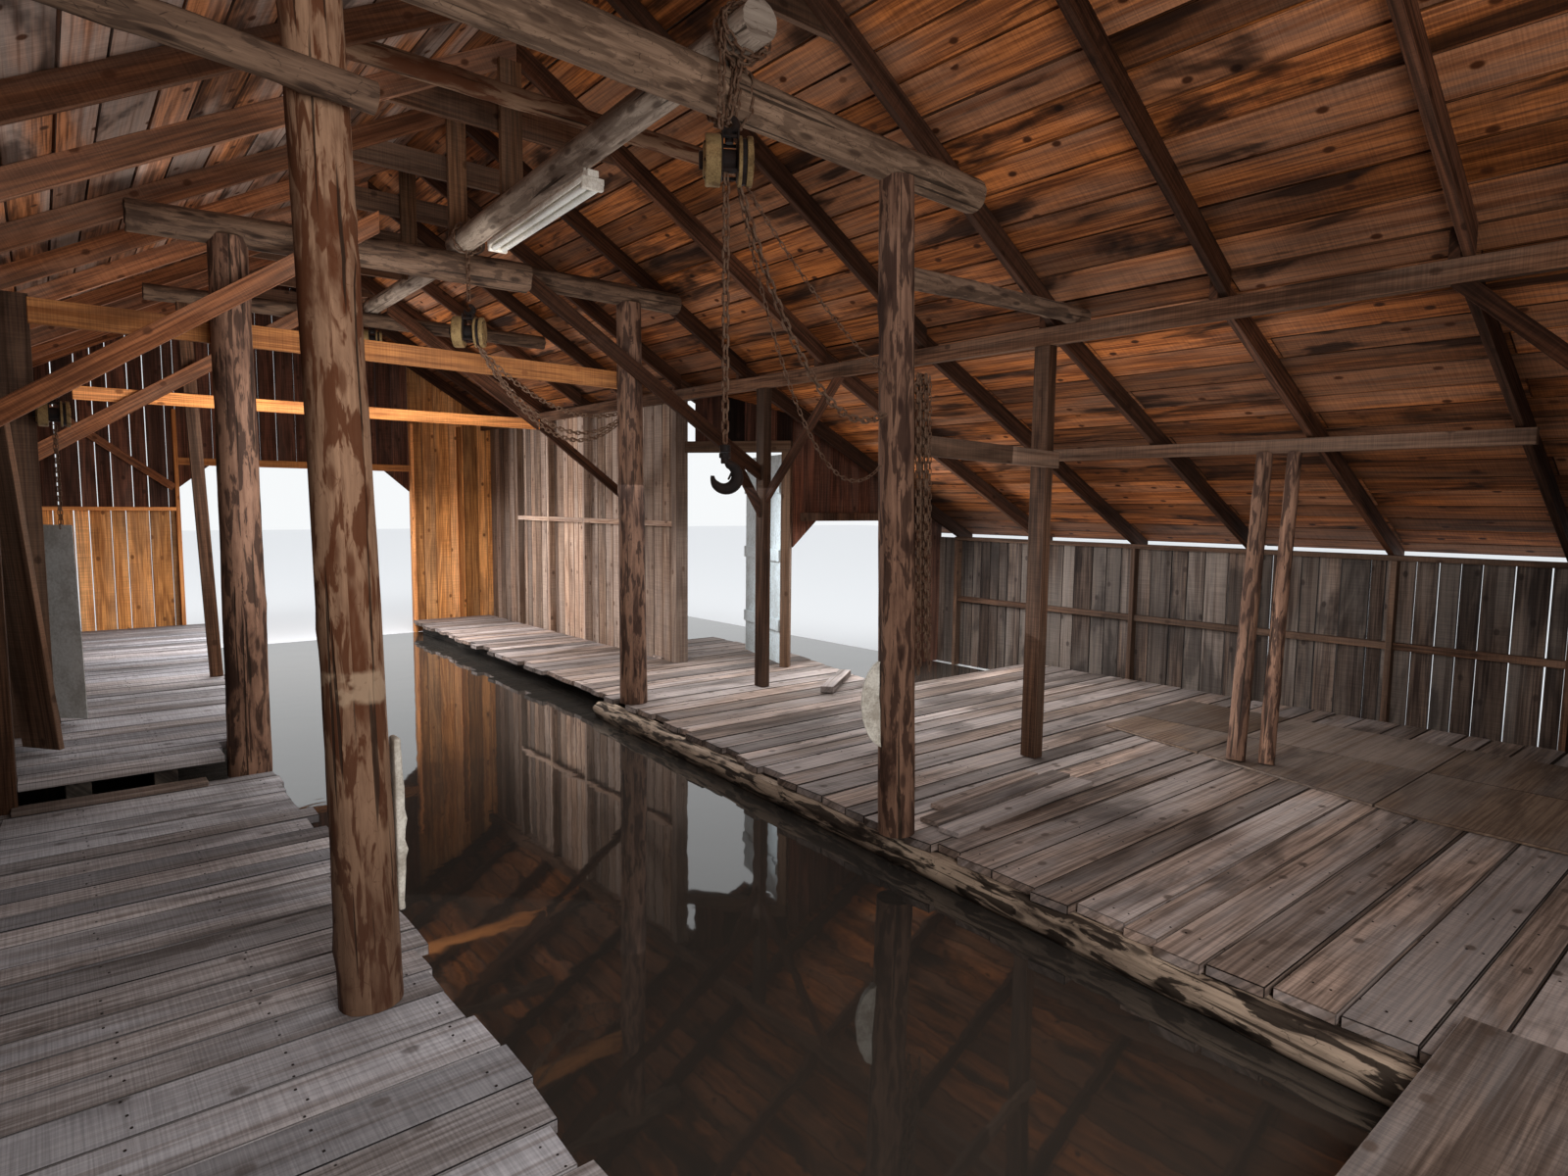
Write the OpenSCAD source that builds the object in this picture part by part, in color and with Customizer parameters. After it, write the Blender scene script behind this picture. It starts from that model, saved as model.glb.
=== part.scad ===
// Timber boathouse on crib logs: one board-walled shed over a boat slip, with a low wing on the
// right. Everything is set out in plan from the outer faces of the left wall and the shore wall:
// x runs across the slip, y runs out to the lake, z is up from the water surface.

/* [House] */
// Width between the outer faces of the left wall and the wing wall
house_w = 9090; // [8800:10:9600]
// Length between the outer faces of the shore wall and the lake wall
house_l = 15100; // [14800:10:15600]
// Thickness of the wall boards
board_t = 30; // [20:1:40]
// Depth of the wall studs
stud_d = 90; // [70:1:100]
// Width of the wall studs
stud_w = 45; // [38:1:60]
// Depth of the rails between the studs
girt_d = 60; // [40:1:80]

/* [Roof] */
// Ridge line, from the outer face of the left wall
ridge_x = 2950; // [2850:10:3050]
// Centre line of the purlin that carries the break in the roof
purlin_x = 5700; // [5650:5:5740]
// Height of the purlin's top above the head of the side doorway
purlin_over_door = 650; // [600:5:700]
// Width of the purlin
purlin_w = 60; // [50:1:90]
// Depth of the purlin
purlin_d = 120; // [90:1:150]
// Fall of the left roof, as rise over run
slope_left = 0.547; // [0.52:0.001:0.56]
// Fall of the right roof above the purlin
slope_right = 0.597; // [0.57:0.001:0.62]
// Fall of the wing roof below the purlin
slope_wing = 0.472; // [0.46:0.001:0.48]
// Width of a rafter
rafter_w = 50; // [38:1:60]
// Depth of a rafter, square to its slope
rafter_d = 140; // [110:1:160]
// Centre distance of the rafter pairs
rafter_pitch = 1150; // [1100:10:1180]
// Place of the first rafter pair, from the shore wall's outer face
rafter_first = 345; // [300:5:380]
// Place of the last rafter pair, from the lake wall's outer face
rafter_last = 200; // [180:5:260]
// Thickness of the roof boards with their covering
roof_t = 50; // [40:1:70]
// Overhang of the side eaves
eave = 250; // [200:10:320]
// Overhang of the roof at the gables
verge = 200; // [150:10:260]
// Fall from the ridge to the underside of the collar ties
collar_drop = 440; // [400:5:480]
// Depth of a collar tie
collar_d = 180; // [140:5:200]

/* [Decks] */
// Height of the main decks above the water
deck_top = 190; // [180:1:240]
// Thickness of the deck boards
deck_t = 45; // [38:1:60]
// Step up to the lake end of the left deck
deck_step = 150; // [120:1:180]
// Place of that step, from the shore wall
step_y = 7840; // [7600:10:7860]
// Edge of the left deck on the slip at the shore end
slip_left_shore = 1380; // [1300:5:1400]
// Edge of the left deck on the slip at the lake end
slip_left_lake = 2000; // [1950:5:2050]
// Edge of the right deck on the slip at the shore end
slip_right_shore = 3750; // [3700:5:3800]
// Edge of the right deck on the slip at the lake end
slip_right_lake = 4560; // [4500:5:4580]
// Reach of the shore deck, from the outer face of the shore wall
shore_deck_y = 1150; // [900:10:1300]
// Width of the landing outside the side doorway
landing_w = 1340; // [1200:10:1500]
// Length of that landing beyond the doorway
landing_l = 1350; // [1200:10:1500]
// Length of the small basin in the wing
basin_l = 1450; // [1350:10:1500]
// Width of a sleeper under the decks
sleeper_w = 120; // [100:5:150]

/* [Openings] */
// Left side of the boat opening
boat_left = 1760; // [1700:10:1800]
// Width of the boat opening
boat_w = 2830; // [2700:10:2850]
// Height of the boat opening above the water
boat_head = 2370; // [2300:10:2450]
// Left side of the wing opening
gate_left = 6640; // [6600:10:6700]
// Width of the wall beside the wing opening
gate_side = 770; // [700:10:800]
// Fall from the wing rafters at its outer side to the head of that opening
gate_drop = 158; // [120:2:200]
// Size of the corner boards under both heads
gusset = 340; // [250:10:400]

/* [Log frame] */
// Radius of the front posts at their foot
post_front_r = 105; // [95:1:115]
// Radius of the rear posts at their foot
post_rear_r = 124; // [110:1:130]
// Radius of the front cross log
cross_r = 98; // [85:1:105]
// Height of the front cross log's centre line over the purlin's top, at its left post
cross_left_up = 595; // [560:5:610]
// Height of the front cross log's centre line over the purlin's top, at its right post
cross_right_up = 475; // [450:5:510]
// Height of the seat on the right rear post over the purlin's top
rear_seat_up = 478; // [450:1:500]
// Height of the seat on the left rear post over the purlin's top
rear_left_seat_up = 415; // [400:1:450]
// Radius of the hoist logs that lie on the cross logs
hoist_log_r = 84; // [70:1:90]
// Radius of the far cross log
far_log_r = 70; // [60:1:80]
// Height of the far cross log's centre line over the purlin's top
far_log_up = 540; // [500:5:570]

/* [Doorway] */
// Height of the doorway above the deck
door_h = 2310; // [2200:5:2340]
// Depth of the head piece over the doorway
door_head_d = 120; // [100:5:140]
// Thickness of the door's boards
leaf_t = 22; // [18:1:25]
// Gap round the door leaf
leaf_gap = 8; // [6:1:12]
// Angle by which the leaf stands open
door_open = 53; // [40:1:60]
// Length of a hinge strap
strap_l = 420; // [350:5:480]

/* [Hoists] */
// Drop of the front hoist's load chain below the hoist
load_drop = 1090; // [1000:10:1300]
// Radius of the load hook's bend
hook_r = 52; // [45:1:60]
// Length of the light fixture
light_l = 1440; // [1200:5:1500]

/* [Hidden] */
// Gap that keeps neighbouring pieces apart
fit = 0.3;

// Roof lines: the undersides of the rafters, through the purlin's outer top edge
purlin_top = deck_top + door_h + purlin_over_door;
edge_x = purlin_x + purlin_w / 2;
ridge_z = purlin_top + slope_right * (edge_x - ridge_x);
cross_left_z = purlin_top + cross_left_up;
cross_right_z = purlin_top + cross_right_up;
rear_seat_z = purlin_top + rear_seat_up;
rear_left_seat_z = purlin_top + rear_left_seat_up;
far_log_z = purlin_top + far_log_up;
function under_left(x) = ridge_z - slope_left * (ridge_x - x);
function under_right(x) = ridge_z - slope_right * (x - ridge_x);
function under_wing(x) = purlin_top - slope_wing * (x - edge_x);
// Rise of a rafter's depth measured straight up
function plumb(slope, d) = d * sqrt(1 + slope * slope);
rafter_count = 2 + floor((house_l - rafter_last - 400 - rafter_first) / rafter_pitch);
function rafter_y(i) =
  i < rafter_count - 1 ? rafter_first + i * rafter_pitch : house_l - rafter_last - rafter_w;

// Places of the walls: inner faces of the studs, and the wall beside the slip
left_in = board_t + stud_d + fit;
right_in = house_w - board_t - stud_d - fit;
shore_in = board_t + stud_d + fit;
lake_in = house_l - board_t;
slip_wall_x = edge_x + fit;
slip_wall_y = 9650;
slip_wall_out = slip_wall_x + stud_d + fit + board_t;
end_post_w = 155;
end_post_d = 90;
slip_stud_pitch = 1030;
wing_end_y = 8750;
boat_right = boat_left + boat_w;
gate_right = house_w - gate_side;
gate_head = under_wing(gate_right) - gate_drop;
basin_y = wing_end_y - basin_l;
main_eave_x = slip_wall_out + 300;
porch_y = slip_wall_y + 300;
porch_x = gate_left + 280;
landing_x = slip_wall_out + landing_w;
landing_y = slip_wall_y + landing_l;

// Side doorway: from the hinge corner to the end post of the wall beside the slip
frame_d = 96;
jamb_w = 100;
hinge_corner = [6520, wing_end_y + 40];
strike_corner = [slip_wall_x + end_post_w, slip_wall_y];
door_run = strike_corner - hinge_corner;
door_len = norm(door_run);
door_turn = atan2(door_run[1], door_run[0]);
pin_r = 6;
knuckle_r = 10;
pin_y = -(frame_d / 2 + knuckle_r + 0.2);
hinge_z = [420, 1180, 1920];
knuckle_h = 40;
strap_t = 5;
ledge_t = 18;
leaf_boards = 8;

// Log frame: feet and heads of the posts, as points in plan
p1 = [1203, 4587];
p1_top = [1120, 4600];
p2 = [3870, 4576];
p2_top = [3736, 4550];
p3 = [4359, 8206];
p3_top = [4325, 8206];
p4 = [1368, 8027];
p4_top = [1375, 8027];
post_taper = 0.87;
prop_foot = [1550, 10816];
prop_head = [1430, 10816];
prop_w = 100;
prop_d = 60;
function front_log_z(x) =
  cross_left_z + (cross_right_z - cross_left_z) * (x - p1_top[0]) / (p2_top[0] - p1_top[0]);
front_seat = 0.72 * cross_r;
rear_beam_w = 170;
rear_beam_d = 152;
rear_log_r = 88;
rear_log_z = rear_seat_z + 0.72 * rear_log_r;
far_log_y = rafter_y(9) + rafter_w + far_log_r + 1.3;
crib_h = deck_top - deck_t - fit;
raised_h = deck_top + deck_step - deck_t - fit;

// Moves the plan's origin to the middle of the house
module plan() translate([-house_w / 2, -house_l / 2, 0]) children();

// A log between two points, thicker or thinner at its far end
module log_between(a, b, ra, rb, n = 32) {
  d = b - a;
  l = norm(d);
  translate(a) rotate([0, acos(d[2] / l), atan2(d[1], d[0])]) cylinder(h = l, r1 = ra, r2 = rb, $fn = n);
}

// A sawn bar between two points, its width level and its depth upright
module bar_between(a, b, w, d) {
  v = b - a;
  run = norm([v[0], v[1]]);
  translate(a) rotate([0, -atan2(v[2], run), atan2(v[1], v[0])])
    translate([0, -w / 2, -d / 2]) cube([norm(v), w, d]);
}

// A bar that leans in a plane across the slip, its ends cut plumb at the two x values
module plumb_bar(x0, z0, x1, z1, y, w, d) {
  e = plumb((z1 - z0) / (x1 - x0), d) / 2;
  along_y(y, y + w, [[x0, z0 - e], [x1, z1 - e], [x1, z1 + e], [x0, z0 + e]]);
}

module upright(x, y, w, d, z0, z1) translate([x, y, z0]) cube([w, d, z1 - z0]);

// A profile in x and z, drawn out along y from y0 to y1
module along_y(y0, y1, points)
  translate([0, y1, 0]) rotate([90, 0, 0]) linear_extrude(y1 - y0) polygon(points);

// A slack chain's bow: straight pieces on a parabola from a to b that sags below the chord
module bow(a, b, sag, r, n = 8) {
  function at(t) = a + (b - a) * t - [0, 0, 4 * sag * t * (1 - t)];
  for (i = [0 : n - 1]) {
    p = at(i / n);
    q = at((i + 1) / n);
    u = (q - p) / norm(q - p);
    log_between(p - u * r * 0.4, q + u * r * 0.4, r, r, 12);
  }
}

// Everything below the roof boards
module under_roof() {
  l = plumb(slope_left, rafter_d) - fit;
  r = plumb(slope_right, rafter_d) - fit;
  w = plumb(slope_wing, rafter_d) - fit;
  along_y(-10, house_l + 10, [
    [0, 0], [house_w, 0], [house_w, under_wing(house_w) + w], [edge_x, under_wing(edge_x) + w],
    [edge_x, under_right(edge_x) + r], [ridge_x, ridge_z + l],
    [0, under_left(0) + l]
  ]);
}

// Room for the wing rafters where a wall passes between them
module rafter_room() for (i = [0 : rafter_count - 1])
  along_y(rafter_y(i) + rafter_w - fit, rafter_y(i) + 2 * rafter_w + fit, [
    [edge_x - 100, under_wing(edge_x) - fit], [edge_x, under_wing(edge_x) - fit],
    [house_w, under_wing(house_w) - fit], [house_w, 5000], [edge_x - 100, 5000]]);

module slab(z, points) translate([0, 0, z - deck_t]) linear_extrude(deck_t) polygon(points);

// The left deck steps up towards the lake
module deck_left() color("#8d857c") {
  low_deck();
  raised_deck();
}
module low_deck() difference() {
  slab(deck_top, [
    [left_in + fit, shore_deck_y + fit], [slip_left_shore, shore_deck_y + fit],
    [slip_left_shore + 60, p1[1]], [slip_left_shore + 90, step_y - fit], [left_in + fit, step_y - fit]]);
  wall_post_room();
}
module raised_deck() difference() {
  slab(deck_top + deck_step, [
    [left_in + fit, step_y], [p4[0] - post_rear_r - 20, step_y],
    [p4[0] - post_rear_r - 20, p4[1] + post_rear_r + 60], [p4[0] + 20, p4[1] + post_rear_r + 60],
    [prop_foot[0] + 70, prop_foot[1] + 60], [slip_left_lake, lake_in - stud_d - fit],
    [left_in + fit, lake_in - stud_d - fit]]);
  wall_post_room();
}

module deck_right() color("#8d857c") slab(deck_top, [
  [slip_right_shore, shore_deck_y + fit], [right_in - fit, shore_deck_y + fit],
  [right_in - fit, basin_y], [gate_left + 30, basin_y], [landing_x, wing_end_y + 570],
  [landing_x, landing_y], [slip_wall_out + fit, landing_y],
  [slip_wall_out + fit, slip_wall_y + end_post_d + fit],
  [slip_wall_x + end_post_w + fit, slip_wall_y + end_post_d + fit],
  [slip_wall_x + end_post_w + fit, slip_wall_y - fit],
  [slip_wall_x - fit, slip_wall_y - fit], [slip_wall_x - fit, lake_in - stud_d - fit],
  [slip_right_lake, lake_in - stud_d - fit], [p3[0] - 30, p3[1] + 100], [p2[0] + 60, p2[1] + 250],
  [slip_right_shore + 60, shore_deck_y + 1600]]);

module deck_shore() color("#8d857c")
  slab(deck_top, [
    [left_in + fit, shore_in + fit], [right_in - fit, shore_in + fit],
    [right_in - fit, shore_deck_y], [left_in + fit, shore_deck_y]]);

plywood_t = 18;
module plywood_floor() color("#7d6651")
  translate([0, 0, deck_top + fit]) linear_extrude(plywood_t) polygon([
    [slip_wall_x + 610, 1900], [right_in - 620, 1900], [right_in - 620, 5150], [slip_wall_x + 1190, 5150],
    [slip_wall_x + 610, 2850]]);

gangplank_t = 50;
module gangplank() color("#7a7068")
  translate([slip_left_shore - 330, 1480, deck_top + fit])
    cube([slip_right_shore - slip_left_shore + 600, 620, gangplank_t]);

edge_log_r = 95;
module edge_logs() color("#54463b") {
  difference() {
    log_between([slip_right_shore - 60, shore_deck_y + 20, edge_log_r],
      [p3[0] - 110, p3[1] + 400, edge_log_r], edge_log_r - 1, edge_log_r - 22);
    translate([slip_right_shore - 300, 0, crib_h]) cube([1500, house_l, 200]);
  }
  log_between([slip_left_shore - 30, shore_deck_y + 20, crib_h / 2],
    [p4[0] + 20, p4[1] + 300, crib_h / 2], crib_h / 2, crib_h / 2 - 0.4);
}

// Sleepers under the decks, down to the water
module sleeper(x, y0, y1, top) upright(x, y0, sleeper_w, y1 - y0, 0, top);
module crib_logs() color("#4a4038") {
  for (x = [left_in + 300, left_in + 720]) {
    sleeper(x, shore_deck_y + 20, step_y - 300, crib_h);
    sleeper(x, step_y + 20, lake_in - stud_d - 150, raised_h);
  }
  for (x = [p3[0] + 290, p3[0] + 700]) sleeper(x, shore_deck_y + 20, slip_wall_y - 500, crib_h);
  sleeper(p3[0] + 290, slip_wall_y - 350, lake_in - stud_d - 150, crib_h);
  for (x = [right_in - 3070, right_in - 2070, right_in - 1070, right_in - 270])
    sleeper(x, shore_deck_y + 20, basin_y - 250, crib_h);
  sleeper(slip_wall_out + 400, basin_y + 300, landing_y - 150, crib_h);
  for (x = [left_in + 480, slip_left_shore + 1600, right_in - 2970, right_in - 770])
    sleeper(x, shore_in + 20, shore_deck_y - 100, crib_h);
}

// Peeled log posts stand flat under the cross logs, which are notched over them
module log_post(foot, head, r, z0, z1) intersection() {
  log_between([foot[0], foot[1], z0 - 60], [head[0], head[1], z1 + 60], r, r * post_taper);
  translate([0, 0, z0]) cube([house_w, house_l, z1 - z0]);
}
module log_posts() color("#8a6a4e") {
  log_post(p1, p1_top, post_front_r, deck_top + fit, front_log_z(p1_top[0]) - front_seat - fit);
  log_post(p2, p2_top, post_front_r - 5, deck_top + fit, front_log_z(p2_top[0]) - front_seat - fit);
  log_post(p4, p4_top, post_rear_r + 4, crib_h + fit, rear_left_seat_z - fit);
  log_post(p3, p3_top, post_rear_r - 4, deck_top + fit, rear_seat_z - fit);
}

post_w = 90;
post_d = 120;
truss_t = 40;
truss_y = p3[1] - (post_rear_r - 4) * 0.9 - truss_t - 0.2;
middle_post_y = 5000;
door_post_y = truss_y + truss_t / 2;
shore_post_y = 1710;
wall_post_w = 90;
wall_post_y = p4[1] - 220;
plank_post_y = p4[1] + 1080;
purlin_seat = purlin_top - purlin_d - fit;
module wall_post_room() {
  upright(left_in, wall_post_y - fit, wall_post_w + 2 * fit, 180 + 2 * fit, 0, 1000);
  upright(left_in, plank_post_y - fit, 280 + 2 * fit, 150 + 2 * fit, 0, 1000);
}
module square_posts() color("#77675a") {
  for (y = [shore_post_y, middle_post_y, door_post_y])
    upright(purlin_x - post_w / 2, y - post_d / 2, post_w, post_d, deck_top + fit, purlin_seat);
  upright(left_in + fit, wall_post_y, wall_post_w, 180, 0, under_left(left_in) - fit);
  upright(left_in + fit, plank_post_y, 280, 150, 0, under_left(left_in) - fit);
  intersection() {
    bar_between([prop_foot[0] + 4, prop_foot[1], deck_top],
      [prop_head[0] - 4, prop_head[1], far_log_z + 50], prop_d, prop_w);
    translate([0, 0, deck_top + deck_step + fit])
      cube([house_w, house_l, far_log_z - 0.72 * far_log_r - deck_top - deck_step - 2 * fit]);
  }
}

plate_x = 7200;
plate_w = 60;
plate_d = 100;
plate_top = under_wing(plate_x + plate_w / 2) - fit;
prop_floor = deck_top + plywood_t + 2 * fit;
module prop_poles() color("#8a6a4e") for (p = [[6690, 4020, 62, 4160], [6770, 3850, 52, 3960]])
  intersection() {
    log_between([p[0] - 15, p[1], prop_floor - 60], [plate_x + 13, p[3], plate_top], p[2], p[2] * 0.85);
    translate([0, 0, prop_floor]) cube([house_w, house_l, plate_top - plate_d - fit - prop_floor]);
  }

// Flat notch in a cross log where it sits on a post
module notch(p, r, z) translate([p[0] - r - 8, p[1] - 250, z - 300]) cube([2 * r + 16, 500, 300]);
module front_log() {
  x0 = p1_top[0] - 110;
  x1 = p2_top[0] + 600;
  log_between([x0, p1_top[1], front_log_z(x0)], [x1, p2_top[1], front_log_z(x1)], cross_r, cross_r - 8);
}
module cross_logs() color("#8b8177") {
  difference() {
    front_log();
    notch(p1_top, post_front_r, front_log_z(p1_top[0]) - front_seat);
    notch(p2_top, post_front_r, front_log_z(p2_top[0]) - front_seat);
  }
  along_y(p4[1] - rear_beam_w / 2, p4[1] + rear_beam_w / 2, [
    [p4_top[0] - 520, rear_left_seat_z - 8], [p4_top[0] - 130, rear_left_seat_z],
    [p4_top[0] + 1970, rear_left_seat_z], [p4_top[0] + 1970, rear_left_seat_z + rear_beam_d],
    [p4_top[0] - 100, rear_left_seat_z + rear_beam_d], [p4_top[0] - 520, rear_left_seat_z + 82]]);
  difference() {
    log_between([p3_top[0] - 1630, p3[1], rear_log_z], [p3_top[0] + 480, p3[1], rear_log_z],
      rear_log_r, rear_log_r - 1);
    notch(p3_top, post_rear_r, rear_seat_z);
  }
  difference() {
    log_between([prop_head[0] - 280, far_log_y, far_log_z], [4760, far_log_y, far_log_z],
      far_log_r, far_log_r - 1);
    notch(prop_head, prop_w * 0.7, far_log_z - 0.72 * far_log_r);
  }
}

// Hoist logs lie on the cross logs
hoist_a = [2690, p1_top[1] - 290];
hoist_b = [2840, p4[1] + rear_beam_w / 2 - 4];
hoist_a_z = front_log_z(hoist_a[0]) + cross_r - 3.6 + hoist_log_r;
hoist_b_z = rear_left_seat_z + rear_beam_d + hoist_log_r + fit;
hoist_rise = (hoist_b_z - hoist_a_z) / (hoist_b[1] - p1_top[1]);
hoist_turn = atan2(hoist_b[1] - hoist_a[1], hoist_b[0] - hoist_a[0]) - 90;
far_hoist_r = hoist_log_r - 10;
far_hoist_z = rear_log_z + rear_log_r + far_hoist_r;
module hoist_logs() color("#9a9088") {
  log_between([hoist_a[0], hoist_a[1], hoist_a_z - hoist_rise * 290],
    [hoist_b[0], hoist_b[1], hoist_b_z], hoist_log_r, hoist_log_r);
  log_between([hoist_b[0] + 150, p3[1] - 80, far_hoist_z + 1.2],
    [hoist_b[0] + 165, far_log_y + 130, far_log_z + far_log_r + far_hoist_r - 1.4],
    far_hoist_r - 0.2, far_hoist_r - 1);
}
// Axes under the hoist log, d from its shore end, with z zero at the log's underside
module under_hoist_log(d) translate([hoist_a[0], hoist_a[1], hoist_a_z - hoist_rise * 290])
  rotate(hoist_turn) translate([0, d, hoist_rise * d - hoist_log_r - fit]) children();

collar_log_y = rafter_y(5) + rafter_w + 58 + fit;
collar_log_z = ridge_z - 690;
module tie_logs() color("#8b7a68") {
  log_between([60, p1[1] - post_front_r - 50, under_left(0) + 75],
    [p1[0] + 60, p1[1] - post_front_r - 46, purlin_top + 40], 54, 50);
  log_between([ridge_x - 1330, collar_log_y, collar_log_z],
    [ridge_x + 1120, collar_log_y + 6, collar_log_z - 10], 58, 52);
  difference() {
    log_between([p2[0] - 60, p2[1], purlin_top - 50], [edge_x + 90, p2[1] + 220, purlin_top + 60], 56, 52);
    p2_room();
    upright(edge_x - 300, p2[1] - 200, 600, 1000, purlin_top - 200, purlin_top);
  }
}

module purlins() color("#5c4a3c") {
  upright(purlin_x - purlin_w / 2, board_t + fit, purlin_w, lake_in - board_t - 2 * fit,
    purlin_top - purlin_d, purlin_top - fit);
  upright(plate_x - plate_w / 2, 2630, plate_w, 3330, plate_top - plate_d, plate_top);
}

module rafters_left() color("#8a5a34") for (i = [0 : rafter_count - 1])
  along_y(rafter_y(i), rafter_y(i) + rafter_w, [
    [20 - eave, under_left(20 - eave)], [ridge_x - fit, ridge_z],
    [ridge_x - fit, ridge_z + plumb(slope_left, rafter_d) - fit],
    [20 - eave, under_left(20 - eave) + plumb(slope_left, rafter_d) - fit]]);

module rafters_right() color("#8a5a34") for (i = [0 : rafter_count - 1])
  along_y(rafter_y(i), rafter_y(i) + rafter_w, [
    [ridge_x, ridge_z], [edge_x, purlin_top], [edge_x, purlin_top + plumb(slope_right, rafter_d) - fit],
    [ridge_x, ridge_z + plumb(slope_left, rafter_d) - fit]]);

module rafters_wing() color("#6d4a30") for (i = [0 : rafter_count - 1]) {
  rise = plumb(slope_wing, rafter_d) - fit;
  y = rafter_y(i) + rafter_w + fit;
  end_x = (y < wing_end_y - 50 ? house_w + eave : y < porch_y - 100 ? porch_x : main_eave_x) - 20;
  along_y(y, rafter_y(i) + 2 * rafter_w, [
    [edge_x - purlin_w + 5, purlin_top], [edge_x, purlin_top], [end_x, under_wing(end_x)],
    [end_x, under_wing(end_x) + rise], [edge_x, purlin_top + rise],
    [edge_x - purlin_w + 5, purlin_top + rise]]);
}

module roof_left() color("#7a4c2a") {
  rise = plumb(slope_left, rafter_d);
  t = plumb(slope_left, roof_t);
  along_y(-verge, house_l + verge, [
    [-eave, under_left(-eave) + rise], [ridge_x, ridge_z + rise], [ridge_x, ridge_z + rise + t],
    [-eave, under_left(-eave) + rise + t]]);
}

module roof_right() color("#7a4c2a") {
  r0 = plumb(slope_left, rafter_d);
  r1 = plumb(slope_right, rafter_d);
  t0 = plumb(slope_left, roof_t);
  t1 = plumb(slope_right, roof_t);
  along_y(-verge, house_l + verge, [
    [ridge_x + fit, ridge_z + r0], [edge_x, purlin_top + r1], [edge_x, purlin_top + r1 + t1],
    [ridge_x + fit, ridge_z + r0 + t0]]);
}

module roof_wing() color("#7a4c2a") {
  rise = plumb(slope_wing, rafter_d);
  t = plumb(slope_wing, roof_t);
  difference() {
    along_y(-verge, house_l + verge, [
      [edge_x + fit, under_wing(edge_x + fit) + rise], [house_w + eave, under_wing(house_w + eave) + rise],
      [house_w + eave, under_wing(house_w + eave) + rise + t],
      [edge_x + fit, under_wing(edge_x + fit) + rise + t]]);
    translate([porch_x, wing_end_y + board_t + verge, 0]) cube([4000, house_l, 6000]);
    translate([main_eave_x, porch_y, 0]) cube([4000, house_l, 6000]);
  }
}

// Ties nailed on the lake side of the rafter pairs; the log tie takes the place of one
collar_t = 38;
module collar_ties() color("#6a4326") for (i = [1 : rafter_count - 2]) if (i != 5) {
  z0 = ridge_z - collar_drop;
  z1 = z0 + collar_d;
  y = rafter_y(i) + rafter_w + fit;
  along_y(y, y + collar_t, [
    [ridge_x - collar_drop / slope_left - 150, z0], [ridge_x + collar_drop / slope_right + 130, z0],
    [ridge_x + (collar_drop - collar_d) / slope_right + 130, z1],
    [ridge_x - (collar_drop - collar_d) / slope_left - 150, z1]]);
}

// Long boards nailed across the posts
tie_t = 40;
r4_tie = post_rear_r * 0.91;
r3_tie = (post_rear_r - 4) * 0.895;
tie_turn = atan2(p3_top[1] - p4_top[1], p3_top[0] - p4_top[0])
  - asin((r4_tie - r3_tie) / norm(p3_top - p4_top));
far_tie_y = prop_foot[1] - prop_d / 2 - tie_t - fit;
module tie_boards() color("#b86f33") {
  translate([p4_top[0], p4_top[1], purlin_top - 225]) rotate(tie_turn)
    translate([-980, r4_tie + 2.2, 0]) cube([3990, tie_t, 145]);
  upright(640, far_tie_y, 4030, tie_t, purlin_top - 410, purlin_top - 300);
  difference() {
    translate([p2[0] - 82, p2[1] - 16, purlin_top - 940]) rotate(dark_tie_turn)
      translate([0, -18, 0]) cube([2010, 36, 110]);
    p2_room();
  }
}
module p3_room() log_between([p3[0], p3[1], deck_top - 60], [p3_top[0], p3_top[1], rear_seat_z + 60],
  post_rear_r - 3.6, (post_rear_r - 4) * post_taper + 0.4);
dark_tie_d = [purlin_x + post_w / 2 - p2[0] + 82, middle_post_y - post_d / 2 - p2[1] + 16];
dark_tie_turn = atan2(dark_tie_d[1], dark_tie_d[0]) - asin((18 + fit) / norm(dark_tie_d));
// Room for the right front post in what is nailed or hung on it
module p2_room() log_between([p2[0], p2[1], deck_top - 60],
  [p2_top[0], p2_top[1], front_log_z(p2_top[0]) - front_seat + 60], post_front_r - 4.6,
  (post_front_r - 5) * post_taper + 0.4);

module king_post(x, w, y, z) upright(x, y - 38 - fit, w, 38, z, ridge_z - 8);
module king_posts() color("#8a6a4e") difference() {
  union() {
    king_post(2815, 150, rafter_y(6), hoist_b_z - 12);
    king_post(2880, 140, rafter_y(7), far_hoist_z - 10);
    king_post(2880, 130, rafter_y(8), far_hoist_z - 20);
  }
  hoist_logs();
  translate([0, 0, ridge_z]) cube([house_w, house_l, 500]);
}

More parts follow.
